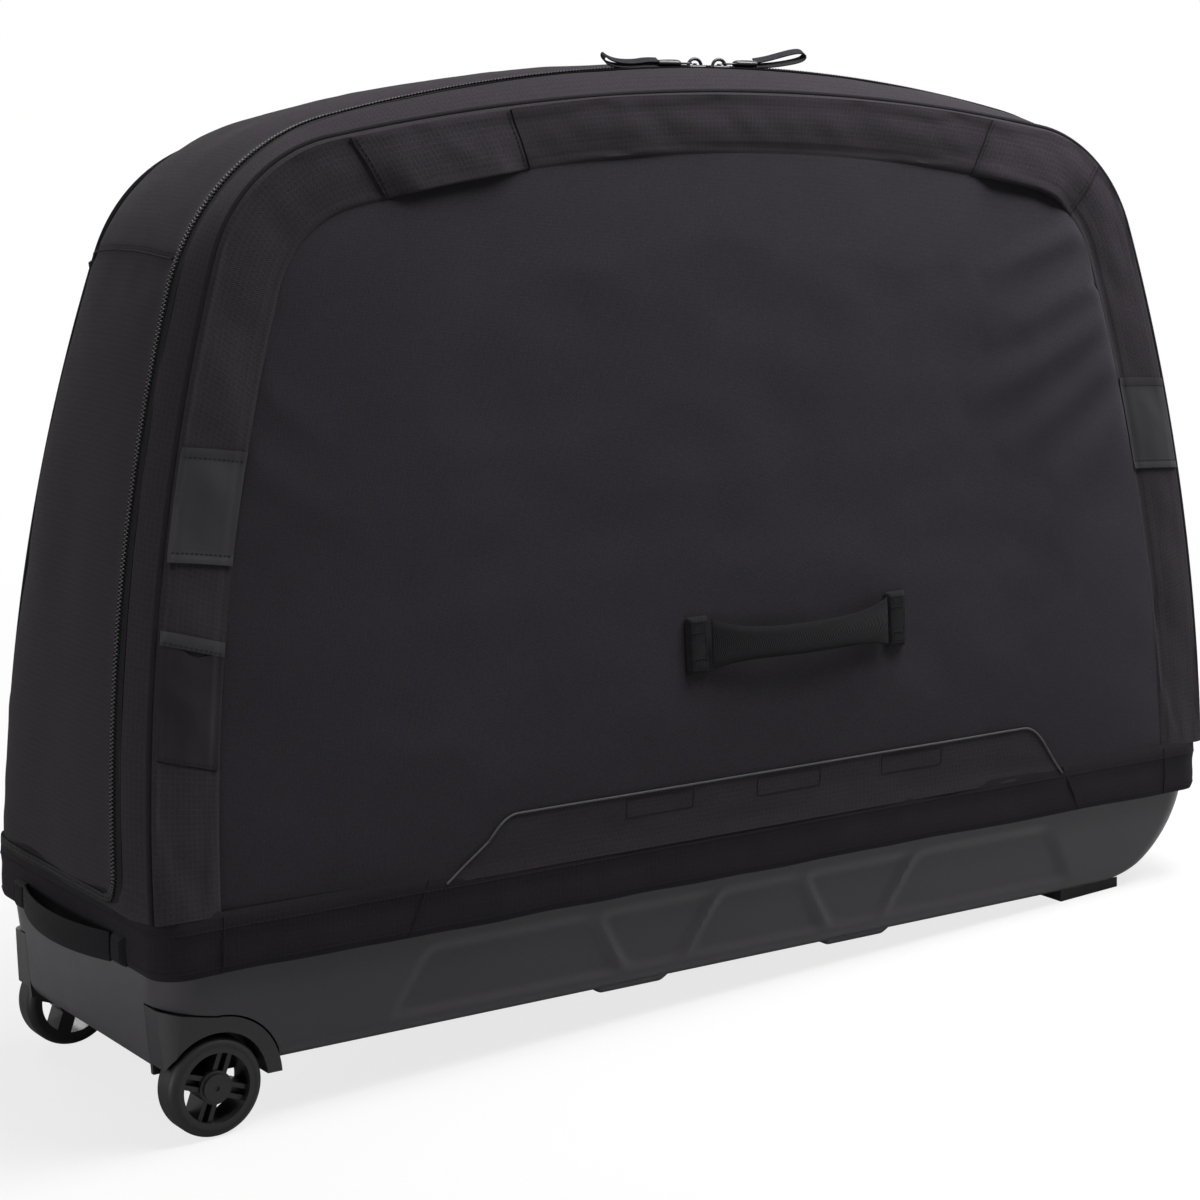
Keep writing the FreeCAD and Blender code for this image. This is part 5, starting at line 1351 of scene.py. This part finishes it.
# Zip sliders and pulls: die-cast sliders with a bail, each with a wire pull in a moulded ferrule
# that grips a folded loop of ribbon.
slider_metal = moulded("slider_metal", (0.03, 0.03, 0.032), 0.34, 2600.0, 0.00002, 0.2, metal=1.0)
ferrule_nylon = moulded("ferrule_nylon", (0.009, 0.0088, 0.0095), 0.3, 1500.0, 0.00003, 0.2, 0.16)
zip_y = -76.1
for name, way, middle_x, foot in (("left", -1, 12, 960.9), ("right", 1, 42, 960.4)):
    body = block("slider_body", (middle_x - 11, zip_y - 6.5, foot),
                 (middle_x + 11, zip_y + 6.5, foot + 5.4), 2.2, 3)
    waist = block("slider_waist", (middle_x - 1.6, zip_y - 2.1, foot + 4.6),
                  (middle_x + 1.6, zip_y + 2.1, foot + 7.4), 0.7, 2)

    def bail_spot(a):
        turn = math.pi * a
        out = Vector((-math.cos(turn), 0, math.sin(turn)))
        here = Vector((middle_x, zip_y, foot + 4.4)) + Vector((out.x * 8.0, 0, out.z * 7.2))
        return here, out, Vector((0, 1, 0))
    bail = tube("slider_bail", 20, bail_spot, 1.7, 26, 10)
    slider = joined("slider_" + name, [body, waist, bail])
    fit(slider, "slider_" + name, slider_metal, "zip_metal", "zip_slider_" + name)

    def ring_spot(a):
        turn = 2 * math.pi * a
        out = Vector((math.cos(turn), math.sin(turn), 0))
        here = Vector((middle_x + way * 13.2, zip_y, foot + 7.2)) + Vector((out.x * 8.4, out.y * 4.6, 0))
        return here, out, Vector((0, 0, 1))
    ring = tube("pull_ring_" + name, 40, ring_spot, 1.0, 40, 10)

    def sleeve_spot(a, b):
        run = a * 28
        wide = 4.4 + 0.9 * math.sin(math.pi * a) - 2.4 * max(0.0, 1 - run / 5) ** 2
        high = 3.3 + 0.5 * math.sin(math.pi * a) - 1.8 * max(0.0, 1 - run / 5) ** 2
        turn = 2 * math.pi * b * way
        return Vector((middle_x + way * (17.5 + run), zip_y + wide * math.cos(turn),
                       foot + 7.2 + high * math.sin(turn)))
    sleeve = cloth("pull_sleeve_" + name, 24, 24, sleeve_spot, 28, 26)
    close_up(sleeve, 0.02)
    fit(ring, "pull_" + name, slider_metal, "zip_metal", "zip_pull_" + name)
    fit(sleeve, "pull_" + name, ferrule_nylon, "ferrule")

ribbon_cloth = woven("ribbon_cloth", (0.016, 0.0155, 0.0168), 0.0008, 0.0003)
ribbon_routes = {
    "left": [(-33, 816.0), (-45, 816.6), (-62, 814.2), (-80, 814.8), (-92, 818.0), (-97, 822.0), (-99, 818.5),
             (-96, 813.8), (-84, 810.6), (-64, 810.2), (-46, 811.4), (-33, 811.2)],
    "right": [(87, 815.6), (100, 817.0), (118, 821.0), (136, 824.8), (147, 825.6), (152, 823.0), (151, 819.2),
              (144, 816.2), (126, 813.2), (104, 811.0), (87, 810.6)]}
leaning = (front(0, 0, 1) - front(0, 0)) * 0.8 + (front(0, 1) - front(0, 0)) * 0.6
half_ribbon = leaning.normalized() * 4
for name, route in ribbon_routes.items():
    line = bpy.data.curves.new("ribbon_line", "CURVE")
    line.dimensions = "3D"
    line.resolution_u = 10
    spline = line.splines.new("NURBS")
    spline.points.add(len(route) - 1)
    for point, (x, v) in zip(spline.points, route):
        point.co = (*front(x, v + 1.2, 52), 1)
    spline.order_u = 3
    spline.use_endpoint_u = True
    guide = bpy.data.objects.new("ribbon_guide", line)
    bpy.context.scene.collection.objects.link(guide)
    bpy.context.view_layer.update()
    traced = bpy.data.meshes.new_from_object(guide)
    level_path = [vertex.co.copy() for vertex in traced.vertices]
    bpy.data.objects.remove(guide)
    path = [standing @ spot for spot in level_path]
    run = sum((b - a).length for a, b in zip(path, path[1:]))

    def ribbon_spot(a, b):
        at = a * (len(path) - 1)
        index = min(int(at), len(path) - 2)
        return level_path[index].lerp(level_path[index + 1], at - index) + half_ribbon * (1 - 2 * b)
    ribbon = cloth("pull_ribbon_" + name, len(path) - 1, 4, ribbon_spot, run * 1000, 8)
    thicken(ribbon, 1.3, 0)
    fit(ribbon, "pull_" + name, ribbon_cloth, "ribbon", "pull_loop_" + name)
    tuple(path[0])
